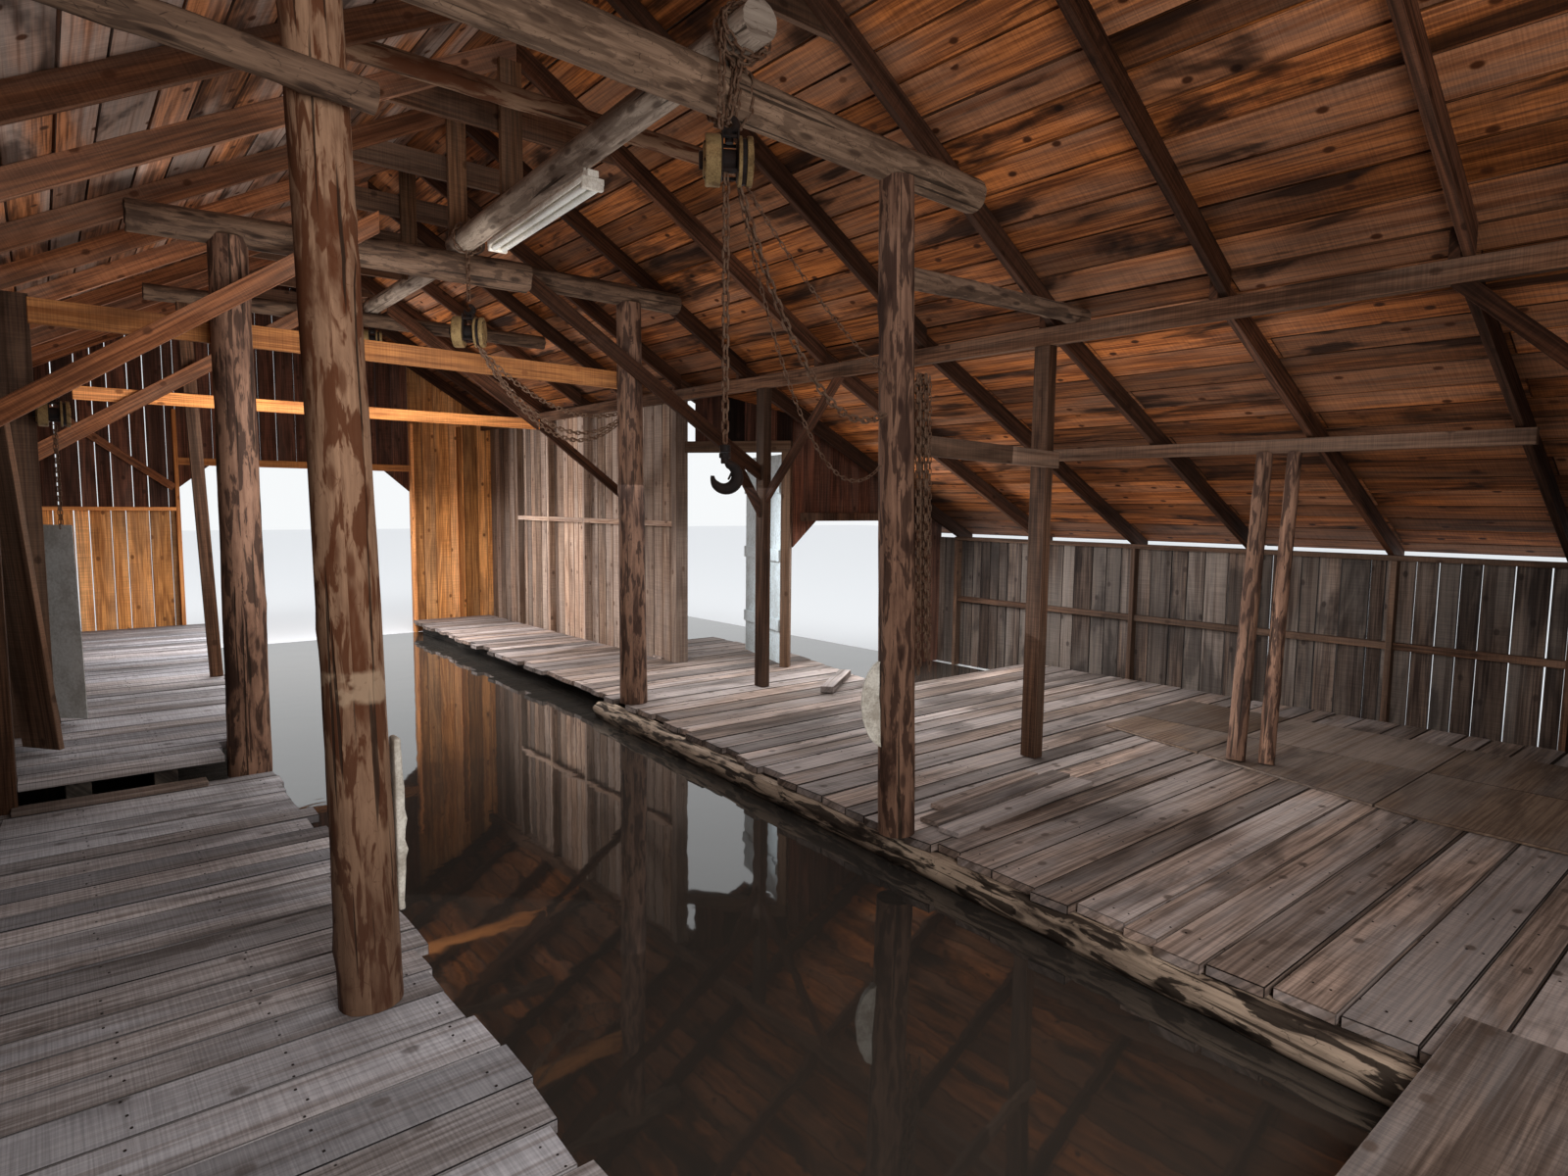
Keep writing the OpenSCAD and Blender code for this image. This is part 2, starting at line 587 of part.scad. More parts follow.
brace_d = 120;
module braces() color("#8a5a34") {
  plumb_bar(left_in + wall_post_w + 2 * fit, purlin_top - 780, 2240, purlin_top + 656, wall_post_y + 65,
    truss_t, brace_d);
  plumb_bar(3356, purlin_top + 505, purlin_x - post_w / 2 - fit, purlin_top - 910,
    truss_y, truss_t, brace_d);
  plumb_bar(5300, purlin_top - 710, purlin_x - post_w / 2 - fit, purlin_top - 1250, truss_y, truss_t, 90);
  plumb_bar(left_in + fit, purlin_top - 1040, 2310, purlin_top + 460, far_tie_y - truss_t - fit, truss_t, brace_d);
  plumb_bar(3100, purlin_top + 680, 4640, purlin_top - 350, far_tie_y - truss_t - fit, truss_t, brace_d);
  plumb_bar(4670 + fit, purlin_top - 350, slip_wall_x, purlin_top - 1130, far_tie_y, tie_t, 100);
  knees = [[door_post_y, -1, purlin_top - 1110, 930], [shore_post_y, 1, purlin_top - 970, 870]];
  for (k = knees) intersection() {
    bar_between([purlin_x, k[0] + k[1] * (post_d / 2 - 60), k[2] - 80],
      [purlin_x, k[0] + k[1] * (post_d / 2 + k[3] + 60), purlin_seat + 22], 45, 80);
    upright(purlin_x - 40, k[0] + (k[1] > 0 ? post_d / 2 + fit : -post_d / 2 - fit - 2000), 80, 2000,
      purlin_top - 1250, purlin_seat);
  }
  bar_between([420, lake_in - stud_d - 18 - 2 * fit, purlin_top - 100],
    [boat_left - 60, lake_in - stud_d - 18 - 2 * fit, purlin_top - 1070], 36, 90);
}

module gable(y, x0, x1, z0) intersection() {
  upright(x0, y, x1 - x0, board_t, z0, 6000);
  under_roof();
}
module corner_board(x, side, y, z)
  along_y(y, y + board_t, [[x, z - gusset * 0.85], [x + side * gusset, z], [x, z]]);

module wall_left() color("#6d4a30")
  upright(0, board_t + fit, board_t, lake_in - board_t - 2 * fit, 0, under_left(0) - fit);
module wall_lake_left() color("#9a6a42") gable(lake_in, 0, boat_left, 0);
module wall_lake_over() color("#5e3a26") {
  gable(lake_in, boat_left + fit, boat_right - fit, boat_head);
  corner_board(boat_left + fit, 1, lake_in, boat_head + 0.01);
  corner_board(boat_right - fit, -1, lake_in, boat_head + 0.01);
}
module wall_lake_right() color("#9a6a42") gable(lake_in, boat_right, slip_wall_out, 0);
module wall_slip_side() color("#9a7a55")
  upright(slip_wall_out - board_t, slip_wall_y + end_post_d + fit, board_t,
    lake_in - slip_wall_y - end_post_d - 2 * fit, 0, under_wing(slip_wall_out) - fit);
module wall_over_door() color("#5e3a26") difference() {
  intersection() {
    in_doorway() translate([-96, -frame_d / 2, deck_top + door_h + door_head_d + fit])
      cube([door_len + 20, board_t, 1500]);
    under_roof();
  }
  rafter_room();
  translate([slip_wall_x - 200, slip_wall_y - fit, 0]) cube([stud_d + 300, 1000, 6000]);
  translate([gate_left - fit, wing_end_y - 100, 0]) cube([400, 100 + board_t + fit, 6000]);
}
module wall_wing_end() color("#5e3a26") {
  gable(wing_end_y, gate_left, house_w, gate_head);
  gable(wing_end_y, gate_right, house_w, 0);
  corner_board(gate_left, 1, wing_end_y, gate_head + 0.01);
  corner_board(gate_right, -1, wing_end_y, gate_head + 0.01);
}
module wall_right() color("#7d7468")
  upright(house_w - board_t, board_t + fit, board_t, wing_end_y - board_t - 2 * fit,
    0, under_wing(house_w) - fit);
module wall_shore() color("#7d7468") gable(0, 0, house_w, 0);

// Studs under the rafters, a plate on top and rails between
module side_studs(x, last, top) {
  for (i = [0 : last]) upright(x, rafter_y(i), stud_d, stud_w, 0, top - stud_w - fit);
  upright(x, board_t + fit, stud_d, rafter_y(last) + stud_w - board_t, top - stud_w, top);
}
module side_rail(x, w, last, z) for (i = [0 : last - 1])
  upright(x, rafter_y(i) + stud_w + fit, w, rafter_y(i + 1) - rafter_y(i) - stud_w - 2 * fit,
    z, z + girt_d);
right_rail_z = 790;
module studs_sides() color("#6d4a30") {
  side_studs(board_t + fit, rafter_count - 1, under_left(board_t) - fit);
  side_studs(right_in, 7, under_wing(house_w - board_t) - fit);
  side_rail(board_t + fit, stud_d - 30, 6, 1400);
  side_rail(right_in + 30, stud_d - 30, 7, right_rail_z);
}
slip_rail_z = 1690;
module studs_slip_side() color("#9a7a55") {
  y0 = slip_wall_y + end_post_d;
  top = under_wing(slip_wall_x + stud_d) - fit;
  n = floor((lake_in - y0 - 300) / slip_stud_pitch);
  upright(slip_wall_x, slip_wall_y, end_post_w, end_post_d, 0, under_wing(slip_wall_x + end_post_w) - fit);
  for (i = [1 : n]) upright(slip_wall_x, y0 + i * slip_stud_pitch, stud_d, stud_w, 0, top - stud_w - fit);
  for (i = [0 : n - 1])
    upright(slip_wall_x, y0 + i * slip_stud_pitch + (i > 0 ? stud_w : 0) + fit, 40,
      slip_stud_pitch - (i > 0 ? stud_w : 0) - 2 * fit, slip_rail_z, slip_rail_z + girt_d);
  upright(slip_wall_x, y0 + fit, stud_d, lake_in - y0 - 2 * fit, top - stud_w, top);
}
module studs_ends() color("#9a6a42") {
  y = lake_in - stud_d;
  top = under_left(left_in) - 200;
  for (x = [left_in + 10, boat_left - stud_w]) upright(x, y, stud_w, stud_d - fit, 0, top);
  upright(left_in + 10 + stud_w + fit, y, boat_left - left_in - 10 - 2 * stud_w - 2 * fit,
    stud_d - fit, 1790, 1790 + stud_w);
  for (x = [boat_right, boat_right + 700]) upright(x, y, stud_w, stud_d - fit, 0, top);
  upright(boat_left + fit, y, boat_w - 2 * fit, stud_d - fit, boat_head, boat_head + 90);
  for (x = [1200, 2450, 3700, 4700]) upright(x, board_t + fit, stud_w, stud_d - fit, 0, top);
  for (x = [1200, 2400]) upright(house_w - x, board_t + fit, stud_w, stud_d - fit, 0, 1500);
  upright(gate_left + jamb_w, wing_end_y - 60 - fit, gate_right - gate_left - jamb_w, 60,
    gate_head, gate_head + 90);
  upright(gate_right, wing_end_y - 60 - fit, 60, 60, 0, gate_head + 90);
}

// Axes of the doorway: x from the hinge corner to the end post, outside at negative y
module in_doorway() translate([hinge_corner[0], hinge_corner[1], 0]) rotate(door_turn) children();
module door_frame() color("#7d6a58") difference() {
  in_doorway() {
    translate([-jamb_w, -frame_d / 2, deck_top + fit]) cube([jamb_w, frame_d, door_h - 2 * fit]);
    translate([-jamb_w, -frame_d / 2, deck_top + door_h]) cube([door_len + 120, frame_d, door_head_d]);
  }
  upright(slip_wall_x - 200, slip_wall_y - fit, end_post_w + 200 + 2 * fit, 400, 0, 6000);
  upright(gate_left - fit, wing_end_y - 100, 300, 100 + board_t + fit, 0, 6000);
  upright(0, 0, house_w, house_l, 0, deck_top + fit);
}

module leaf_place() in_doorway()
  translate([0, pin_y, 0]) rotate(-door_open) translate([0, -pin_y, 0]) children();
module door_leaf() color("#e8e6e0") leaf_place() {
  w = door_len - 2 * leaf_gap;
  pitch = w / leaf_boards;
  for (i = [0 : leaf_boards - 1])
    translate([leaf_gap + i * pitch, -frame_d / 2, deck_top + 20])
      cube([i < leaf_boards - 1 ? pitch - 5 : pitch, leaf_t, door_h - 40]);
  for (z = hinge_z)
    translate([leaf_gap, leaf_t - frame_d / 2 - 0.01, deck_top + z - 45]) cube([w, ledge_t, 130]);
}
module leaf_straps() color("#5a5a5a") leaf_place()
  for (z = hinge_z) translate([0, 0, deck_top + z]) difference() {
  union() {
    translate([0, pin_y, 0]) cylinder(h = knuckle_h, r = knuckle_r, $fn = 32);
    translate([0, -frame_d / 2 - strap_t, 0]) linear_extrude(knuckle_h) square([40, strap_t - 0.1]);
    translate([39, -frame_d / 2 - 0.1, knuckle_h / 2]) rotate([90, 0, 0])
      linear_extrude(strap_t - 0.1)
        polygon([[0, -20], [strap_l - 40, -10], [strap_l - 30, 0], [strap_l - 40, 10], [0, 20]]);
  }
  translate([0, pin_y, -1]) cylinder(h = knuckle_h + 2, r = pin_r + 0.1, $fn = 32);
}
module hinge_pins() color("#5a5a5a") in_doorway() for (z = hinge_z) translate([0, 0, deck_top + z]) {
  translate([0, pin_y, -25]) cylinder(h = knuckle_h + 50, r = pin_r, $fn = 32);
  for (k = [-25, knuckle_h + 0.5]) {
    translate([0, pin_y, k]) cylinder(h = 24.5, r = knuckle_r, $fn = 32);
    translate([-70, -frame_d / 2 - strap_t, k]) cube([70, strap_t - 0.1, 24.5]);
  }
}

// Chain hoists: sheave housing between a gear cover and a hand wheel cover, top hook in a sling
module hoist_body(s = 1) {
  rotate([90, 0, 0]) translate([0, -145 * s, -30 * s]) linear_extrude(60 * s) {
    circle(r = 62 * s, $fn = 32);
    translate([-62 * s, -62 * s]) square([124 * s, 62 * s]);
  }
  translate([0, 29 * s, -150 * s]) rotate([-90, 0, 0]) cylinder(h = 62 * s, r = 92 * s, $fn = 32);
  translate([0, 91 * s - 0.01, -150 * s]) rotate([-90, 0, 0]) cylinder(h = 22 * s, r = 34 * s, $fn = 6);
  hand_wheel(s, 0);
  translate([0, 0, -84 * s]) cylinder(h = 40 * s, r = 14 * s, $fn = 16);
  translate([0, 0, -24 * s]) rotate([90, 0, 90]) rotate_extrude($fn = 32)
    translate([24 * s, 0]) circle(r = 9 * s, $fn = 16);
}
module hand_wheel(s, grow)
  translate([0, -84 * s - grow, -150 * s]) rotate([-90, 0, 0])
    cylinder(h = 56 * s + 2 * grow, r = 86 * s + grow, $fn = grow > 0 ? 120 : 32);
hoist_drop = 250;
rear_hoist_drop = 380;
module sling(r, t) rotate([90, 0, 0]) rotate_extrude($fn = 32) translate([r, 0]) circle(r = t, $fn = 12);
front_hoist_d = 150;
front_hoist_x = -48;
rear_hoist_d = 3560;
module chain_hoists() color("#b09a6a") {
  under_hoist_log(front_hoist_d) translate([front_hoist_x, 0, -hoist_drop]) rotate(90) hoist_body(1.15);
  under_hoist_log(rear_hoist_d) translate([0, 0, -rear_hoist_drop]) rotate(60) hoist_body(1.25);
  translate([left_in + 371.8, plank_post_y - 90, 2640]) rotate(90) hoist_body(1);
  translate([hoist_b[0] + 164, far_log_y + 105, far_log_z + far_log_r - 75]) rotate(75) hoist_body(1.05);
}
module hanging_chain(drop, x = 0) {
  translate([0, 0, hoist_log_r]) sling(hoist_log_r + 10, 9);
  translate([x, 0, fit - drop]) cylinder(h = drop - 15 + abs(x) / 5, r = 10, $fn = 12);
}
// A point beside a leaning post, r clear of its bark, at height z and a turn seen from above
function beside(foot, head, r0, z, z0, z1, turn, r) =
  let (t = (z - z0) / (z1 - z0), rr = r0 * (1 - (1 - post_taper) * t) + r + 1)
  [foot[0] + (head[0] - foot[0]) * t + rr * cos(turn),
    foot[1] + (head[1] - foot[1]) * t + rr * sin(turn), z];
function on_p2(z, turn, r) =
  beside(p2, p2_top, post_front_r - 5, z, deck_top - 60, front_log_z(p2_top[0]) - front_seat + 60, turn, r);
function on_p3(z, turn, r) =
  beside(p3, p3_top, post_rear_r - 4, z, deck_top - 60, rear_seat_z + 60, turn, r);
module hoist_chains() color("#3a322c") {
  under_hoist_log(front_hoist_d) {
    hanging_chain(hoist_drop - 9 * 1.15, front_hoist_x);
    translate([front_hoist_x - 14, 0, -hoist_drop - 238.3 - load_drop])
      cylinder(h = load_drop, r = 13, $fn = 12);
  }
  under_hoist_log(rear_hoist_d) hanging_chain(rear_hoist_drop - 9 * 1.25);
  difference() {
    union() {
      bow([hoist_a[0] + 18, hoist_a[1] + 150, purlin_top + 112], on_p2(purlin_top - 750, 188, 0), 330, 15);
      bow([hoist_a[0] + 32, hoist_a[1] + 120, purlin_top + 112], on_p2(purlin_top - 550, 185, 0), 60, 8);
      bow([hoist_a[0] + 32, hoist_a[1] + 180, purlin_top + 112], on_p2(purlin_top - 1000, 175, 0), 480, 8);
    }
    p2_room();
    under_hoist_log(front_hoist_d) translate([front_hoist_x, 0, -hoist_drop])
      rotate(90) hand_wheel(1.15, fit);
  }
  difference() {
    union() {
      bow([2900, 7854, purlin_top - 90], on_p3(purlin_top - 510, 176, 0), 300, 10);
      bow([2875, 7810, purlin_top - 90], on_p3(purlin_top - 450, 184, 0), 180, 9);
    }
    p3_room();
    under_hoist_log(rear_hoist_d) translate([0, 0, -rear_hoist_drop]) rotate(60) hand_wheel(1.25, fit);
  }
  translate([hoist_b[0] + 164, far_log_y + 105, far_log_z + far_log_r + far_hoist_r - 2])
    sling(far_hoist_r + 10, 9);
  translate([hoist_b[0] + 164, far_log_y + 105, far_log_z + far_log_r - 65.5])
    cylinder(h = 60, r = 9, $fn = 12);
  log_between(on_p2(1025, -45, 21), on_p2(2585, -45, 21), 22, 22, 12);
  translate([left_in + 371.8, plank_post_y - 90, 1700]) cylinder(h = 732.7, r = 25, $fn = 12);
}
module load_hook() color("#2c2c2c") under_hoist_log(front_hoist_d)
  translate([front_hoist_x - 14, 0, -hoist_drop - 238.3 - load_drop - fit]) rotate(20) {
    translate([0, 0, -70]) cylinder(h = 70, r = 26, $fn = 24);
    translate([0, 0, -70 - hook_r - 10]) rotate([90, 0, 0]) {
      rotate(-150) rotate_extrude(angle = 240, $fn = 48) translate([hook_r, 0]) circle(r = 16, $fn = 24);
    }
    translate([0, 0, -84]) cylinder(h = 30, r1 = 15, r2 = 22, $fn = 24);
  }

fixture_drop = 70;
module light_fixture() color("#e4e2da")
  under_hoist_log(1440) translate([-36, 0, -fixture_drop]) rotate([atan(hoist_rise), 0, 0]) {
  translate([-62, 0, -64]) cube([124, light_l, 64]);
  for (x = [-31, 31]) translate([x, 30, -86]) rotate([-90, 0, 0])
    cylinder(h = light_l - 60, r = 19, $fn = 24);
  for (y = [0, light_l - 34]) translate([-62, y, -104]) cube([124, 34, 41]);
  for (y = [180, light_l - 200]) difference() {
    translate([30, y, -1]) cube([12, 20, fixture_drop + 3]);
    translate([36, y - 1, fixture_drop + hoist_log_r]) rotate([-90, 0, 0])
      cylinder(h = 22, r = hoist_log_r + fit, $fn = 120);
  }
}

module post_bumpers() color("#d8d2c4") {
  difference() {
    translate([p2[0] - 150, p2[1] - 45, 650]) cube([80, 90, 460]);
    p2_room();
  }
  difference() {
    translate([p1[0] + 60, p1[1] - 35, 500]) cube([60, 70, 620]);
    log_between([p1[0], p1[1], deck_top - 60],
      [p1_top[0], p1_top[1], front_log_z(p1_top[0]) - front_seat + 60], post_front_r + 0.4,
      post_front_r * post_taper + 0.4);
  }
}

plan() deck_left();
plan() deck_right();
plan() deck_shore();
plan() plywood_floor();
plan() gangplank();
plan() edge_logs();
plan() crib_logs();
plan() log_posts();
plan() square_posts();
plan() prop_poles();
plan() cross_logs();
plan() hoist_logs();
plan() tie_logs();
plan() purlins();
plan() rafters_left();
plan() rafters_right();
plan() rafters_wing();
plan() roof_left();
plan() roof_right();
plan() roof_wing();
plan() collar_ties();
plan() tie_boards();
plan() king_posts();
plan() braces();
plan() wall_left();
plan() wall_lake_left();
plan() wall_lake_over();
plan() wall_lake_right();
plan() wall_slip_side();
plan() wall_over_door();
plan() wall_wing_end();
plan() wall_right();
plan() wall_shore();
plan() studs_sides();
plan() studs_slip_side();
plan() studs_ends();
plan() door_frame();
plan() door_leaf();
plan() leaf_straps();
plan() hinge_pins();
plan() chain_hoists();
plan() hoist_chains();
plan() load_hook();
plan() light_fixture();
plan() post_bumpers();
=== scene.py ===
import bmesh
import bpy
import math
import random
from mathutils import Matrix, Vector, noise


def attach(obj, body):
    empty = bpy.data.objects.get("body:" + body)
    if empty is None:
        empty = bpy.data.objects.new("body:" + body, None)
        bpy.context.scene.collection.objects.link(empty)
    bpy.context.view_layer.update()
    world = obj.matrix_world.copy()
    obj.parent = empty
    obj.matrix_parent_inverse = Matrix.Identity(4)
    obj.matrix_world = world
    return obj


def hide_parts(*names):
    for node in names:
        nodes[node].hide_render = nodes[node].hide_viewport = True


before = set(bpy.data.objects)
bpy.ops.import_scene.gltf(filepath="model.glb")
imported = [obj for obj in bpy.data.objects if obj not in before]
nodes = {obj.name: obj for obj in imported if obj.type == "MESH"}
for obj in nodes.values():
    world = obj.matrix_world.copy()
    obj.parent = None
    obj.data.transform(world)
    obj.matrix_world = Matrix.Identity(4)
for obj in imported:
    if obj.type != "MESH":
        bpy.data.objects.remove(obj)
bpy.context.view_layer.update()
scene = bpy.context.scene

X, Y, Z = Vector((1, 0, 0)), Vector((0, 1, 0)), Vector((0, 0, 1))
HOUSE_W, HOUSE_L = 9.09, 15.10
FAR = 9  # metres, past the whole house
HOUSE, DOOR = "house", "side_door"
LOW_DECK, HIGH_DECK = 0.190, 0.340


def plan(x, y, z):
    """A point measured in the plan, from the outer corner of the left and shore walls."""
    return Vector((x - HOUSE_W / 2, y - HOUSE_L / 2, z))


# Camera
PHOTO_WIDTH, FOCAL, SENSOR = 1600, 912.5, 36
eye = plan(0.39, 1.36, 1.94)
YAW, PITCH, ROLL = (math.radians(a) for a in (39.70, 5.30, 0.587))
camera = bpy.data.objects.new("camera", bpy.data.cameras.new("camera"))
camera.data.lens = FOCAL / PHOTO_WIDTH * SENSOR
camera.data.sensor_width = SENSOR
camera.data.clip_start = 0.05
aim = Matrix.Rotation(-YAW, 4, "Z") @ Matrix.Rotation(math.pi / 2 - PITCH, 4, "X")
camera.matrix_world = Matrix.Translation(eye) @ aim @ Matrix.Rotation(ROLL, 4, "Z")
scene.collection.objects.link(camera)
scene.camera = camera


# Shader helpers
class Graph:
    """Adds shader nodes to one tree and links them."""

    def __init__(self, tree):
        self.tree = tree

    def join(self, socket, value):
        """Links an input to another node's output, or sets it to a plain value."""
        if isinstance(value, bpy.types.NodeSocket):
            self.tree.links.new(value, socket)
        else:
            socket.default_value = value

    def add(self, kind, settings=None, **inputs):
        """A node with plain settings. Its inputs go by name, or by number as i0 and i1."""
        node = self.tree.nodes.new(kind)
        for key, value in (settings or {}).items():
            setattr(node, key, value)
        for key, value in inputs.items():
            numbered = key[0] == "i" and key[1:].isdigit()
            self.join(node.inputs[int(key[1:]) if numbered else key.replace("_", " ")], value)
        return node

    def math(self, operation, a, b=0.0, clamp=False):
        return self.add("ShaderNodeMath", {"operation": operation, "use_clamp": clamp}, i0=a, i1=b).outputs[0]

    def times(self, a, b, clamp=False):
        return self.math("MULTIPLY", a, b, clamp)

    def plus(self, a, b, clamp=False):
        return self.math("ADD", a, b, clamp)

    def mix(self, factor, a, b):
        return self.add("ShaderNodeMix", {"data_type": "RGBA"}, i0=factor, i6=a, i7=b).outputs[2]

    def between(self, value, low, high, out_low=0.0, out_high=1.0):
        """A smooth step from out_low to out_high, as the value goes from low to high."""
        return self.add("ShaderNodeMapRange", {"interpolation_type": "SMOOTHSTEP"}, Value=value, From_Min=low,
                        From_Max=high, To_Min=out_low, To_Max=out_high).outputs[0]

    def scaled(self, vector, size):
        return self.add("ShaderNodeMapping", Vector=vector, Scale=size).outputs[0]

    def clouds(self, vector, scale, detail=3.0, roughness=0.55, distortion=0.0, kind="3D"):
        """Noise. A scale of three numbers draws it out, such as along the grain."""
        if isinstance(scale, tuple):
            vector, scale = self.scaled(vector, scale), 1.0
        return self.add("ShaderNodeTexNoise", {"noise_dimensions": kind}, Vector=vector, Scale=scale,
                        Detail=detail, Roughness=roughness, Distortion=distortion).outputs[0]

    def strokes(self, along, size, detail=3.0, roughness=0.55, distortion=0.0):
        """Flat noise drawn out along the grain. size gives its scale along and across."""
        return self.clouds(along, (*size, 1), detail, roughness, distortion, "2D")

    def cells(self, along, size, feature="F1"):
        """Flat cells drawn out along the grain, such as knots."""
        return self.add("ShaderNodeTexVoronoi", {"voronoi_dimensions": "2D", "feature": feature},
                        Vector=self.scaled(along, (*size, 1)), Scale=1.0).outputs

    def lit(self, colour, value):
        return self.add("ShaderNodeHueSaturation", Color=colour, Value=value).outputs[0]

    def relief(self, height, strength, depth):
        return self.add("ShaderNodeBump", Strength=strength, Distance=depth, Height=height).outputs[0]

    def grain(self):
        return self.add("ShaderNodeUVMap", {"uv_map": "grain"}).outputs[0]

    def tone(self):
        return self.add("ShaderNodeAttribute", {"attribute_name": "tone"}).outputs["Fac"]

    def place(self):
        return self.tree.nodes.new("ShaderNodeTexCoord").outputs["Object"]


class Group(Graph):
    """A node group that several materials share. It gives colour, roughness and height."""

    def __init__(self, name, vectors, colours, floats):
        super().__init__(bpy.data.node_groups.new(name, "ShaderNodeTree"))
        for kind, labels in (("Vector", vectors), ("Color", colours), ("Float", floats)):
            for label in labels.split():
                self.tree.interface.new_socket(label, in_out="INPUT", socket_type="NodeSocket" + kind)
        self.given = self.tree.nodes.new("NodeGroupInput").outputs

    def done(self, colour, roughness, height):
        outputs = (("Color", "Color", colour), ("Roughness", "Float", roughness), ("Height", "Float", height))
        for label, kind, _ in outputs:
            self.tree.interface.new_socket(label, in_out="OUTPUT", socket_type="NodeSocket" + kind)
        made = self.tree.nodes.new("NodeGroupOutput")
        for label, _, socket in outputs:
            self.tree.links.new(socket, made.inputs[label])
        return self.tree


def sawn_grain():
    """Fibres, growth bands, knots, band-saw marks and stains of one sawn board."""
    g = Group("sawn grain", "Along Place", "Light Dark Stain Grey", "Tone Knots Saw Stains Weather")
    along, place, light, dark, stain, grey, tone = (
        g.given[label] for label in ("Along", "Place", "Light", "Dark", "Stain", "Grey", "Tone"))
    fibres = g.strokes(along, (2.2, 75), 4, 0.62)
    swell = g.strokes(along, (0.35, 8), 2, 0.5, 0.5)
    rings = g.plus(g.times(g.math("SINE", g.times(swell, 30.0)), 0.5), 0.5)
    cells = g.cells(along, (3.6, 5.2))
    pick = g.add("ShaderNodeSeparateColor", Color=cells["Color"]).outputs[0]
    knots = g.times(g.between(cells["Distance"], 0.13, 0.06), g.between(pick, 0.6, 0.65))
    knots = g.times(knots, g.given["Knots"])
    saw = g.strokes(along, (150, 3), 1, 0.5)
    patches = g.clouds(along, (0.9, 3.4, 1), 4, 0.6, 0.5)
    broad = g.clouds(place, 0.55, 2, 0.5)
    stains = g.plus(g.between(patches, 0.5, 0.66), g.between(broad, 0.48, 0.72, 0.0, 0.6), True)
    stains = g.times(stains, g.given["Stains"])
    streaks = g.between(g.strokes(along, (0.4, 24), 3, 0.6), 0.5, 0.68, 0.0, 0.6)
    weather = g.between(g.strokes(along, (0.6, 3)), 0.38, 0.72)
    older = g.between(g.math("FRACT", g.times(tone, 37.7)), 0.5, 0.95, 0.0, 0.9)
    weather = g.times(g.plus(weather, older, True), g.given["Weather"])
    mixed = g.plus(g.times(rings, 0.2), g.times(fibres, 0.85))
    colour = g.mix(g.between(mixed, 0.32, 0.74), light, dark)
    colour = g.mix(streaks, g.mix(weather, colour, grey), dark)
    value = g.math("MAXIMUM", g.plus(g.times(tone, 0.95), 0.55), 0.06)
    colour = g.lit(colour, g.times(value, g.between(saw, 0.2, 0.8, 0.84, 1.14)))
    for mask, over in ((knots, dark), (g.times(knots, 0.5), stain), (stains, stain)):
        colour = g.mix(mask, colour, over)
    height = g.plus(g.times(fibres, 0.65), g.times(saw, g.given["Saw"]))
    return g.done(colour, g.between(fibres, 0.3, 0.8, 0.66, 0.92), height)


def peeled_log():
    """A peeled log: long mottling, drying checks, knots and worm marks."""
    g = Group("peeled log", "Along", "Light Dark Bark", "Tone Patches Worms")
    along, bark = g.given["Along"], g.given["Bark"]
    fibres = g.clouds(along, (3, 48, 1), 4, 0.65, 0.3)
    mottle = g.clouds(along, (1.6, 5.5, 1), 5, 0.62, 0.5)
    flecks = g.clouds(along, (9, 26, 1), 4, 0.7, 0.8)
    flakes = g.clouds(along, (3.6, 17, 1), 4, 0.6, 0.6)
    checks = g.between(g.strokes(along, (0.9, 34), 2, 0.4, 0.2), 0.33, 0.27)
    worms = g.between(g.cells(along, (22, 46), "DISTANCE_TO_EDGE")["Distance"], 0.06, 0.02)
    worms = g.times(g.times(worms, g.between(flecks, 0.5, 0.62)), g.given["Worms"])
    knots = g.between(g.cells(along, (2.6, 7))["Distance"], 0.16, 0.06)
    mixed = g.plus(g.times(fibres, 0.5), g.times(mottle, 0.6))
    colour = g.mix(g.between(mixed, 0.35, 0.75), g.given["Light"], g.given["Dark"])
    colour = g.lit(colour, g.plus(g.times(g.given["Tone"], 0.5), 0.75))
    patches = g.math("MAXIMUM", g.between(mottle, 0.54, 0.66), g.between(flakes, 0.5, 0.56))
    for mask in (g.times(patches, g.given["Patches"]), g.times(knots, 0.75), worms):
        colour = g.mix(mask, colour, bark)
    colour = g.mix(g.times(checks, 0.85), colour, (0.02, 0.014, 0.01, 1))
    height = g.plus(g.times(fibres, 0.5), g.times(flecks, 0.5))
    height = g.math("SUBTRACT", height, g.times(checks, 0.9))
    height = g.math("SUBTRACT", height, g.times(worms, 0.35))
    return g.done(colour, g.between(mottle, 0.3, 0.7, 0.62, 0.9), height)


def grime():
    """Speckle, rubbed patches and fine pits for metal, paint and felt."""
    g = Group("grime", "Place", "Clean Dirt", "Amount Size Smooth Rough")
    place, size, dirt = g.given["Place"], g.given["Size"], g.given["Dirt"]
    broad = g.clouds(place, size, 5.0, 0.65)
    fine = g.clouds(place, g.times(size, 14.0), 3.0, 0.6)
    mask = g.between(g.plus(broad, g.times(fine, 0.25)), 0.52, 0.8)
    mask = g.times(mask, g.given["Amount"], True)
    colour = g.mix(g.between(fine, 0.35, 0.7, 0.0, 0.25), g.mix(mask, g.given["Clean"], dirt), dirt)
    return g.done(colour, g.plus(g.times(mask, g.given["Rough"]), g.given["Smooth"], True), fine)


SAWN, LOG, GRIME = sawn_grain(), peeled_log(), grime()


def rgb(code):
    """A colour as it looks on a screen, in six hex digits, turned to scene values."""
    values = []
    for start in (0, 2, 4):
        part = int(code[start:start + 2], 16) / 255
        values.append(part / 12.92 if part <= 0.04045 else ((part + 0.055) / 1.055) ** 2.4)
    return (*values, 1)


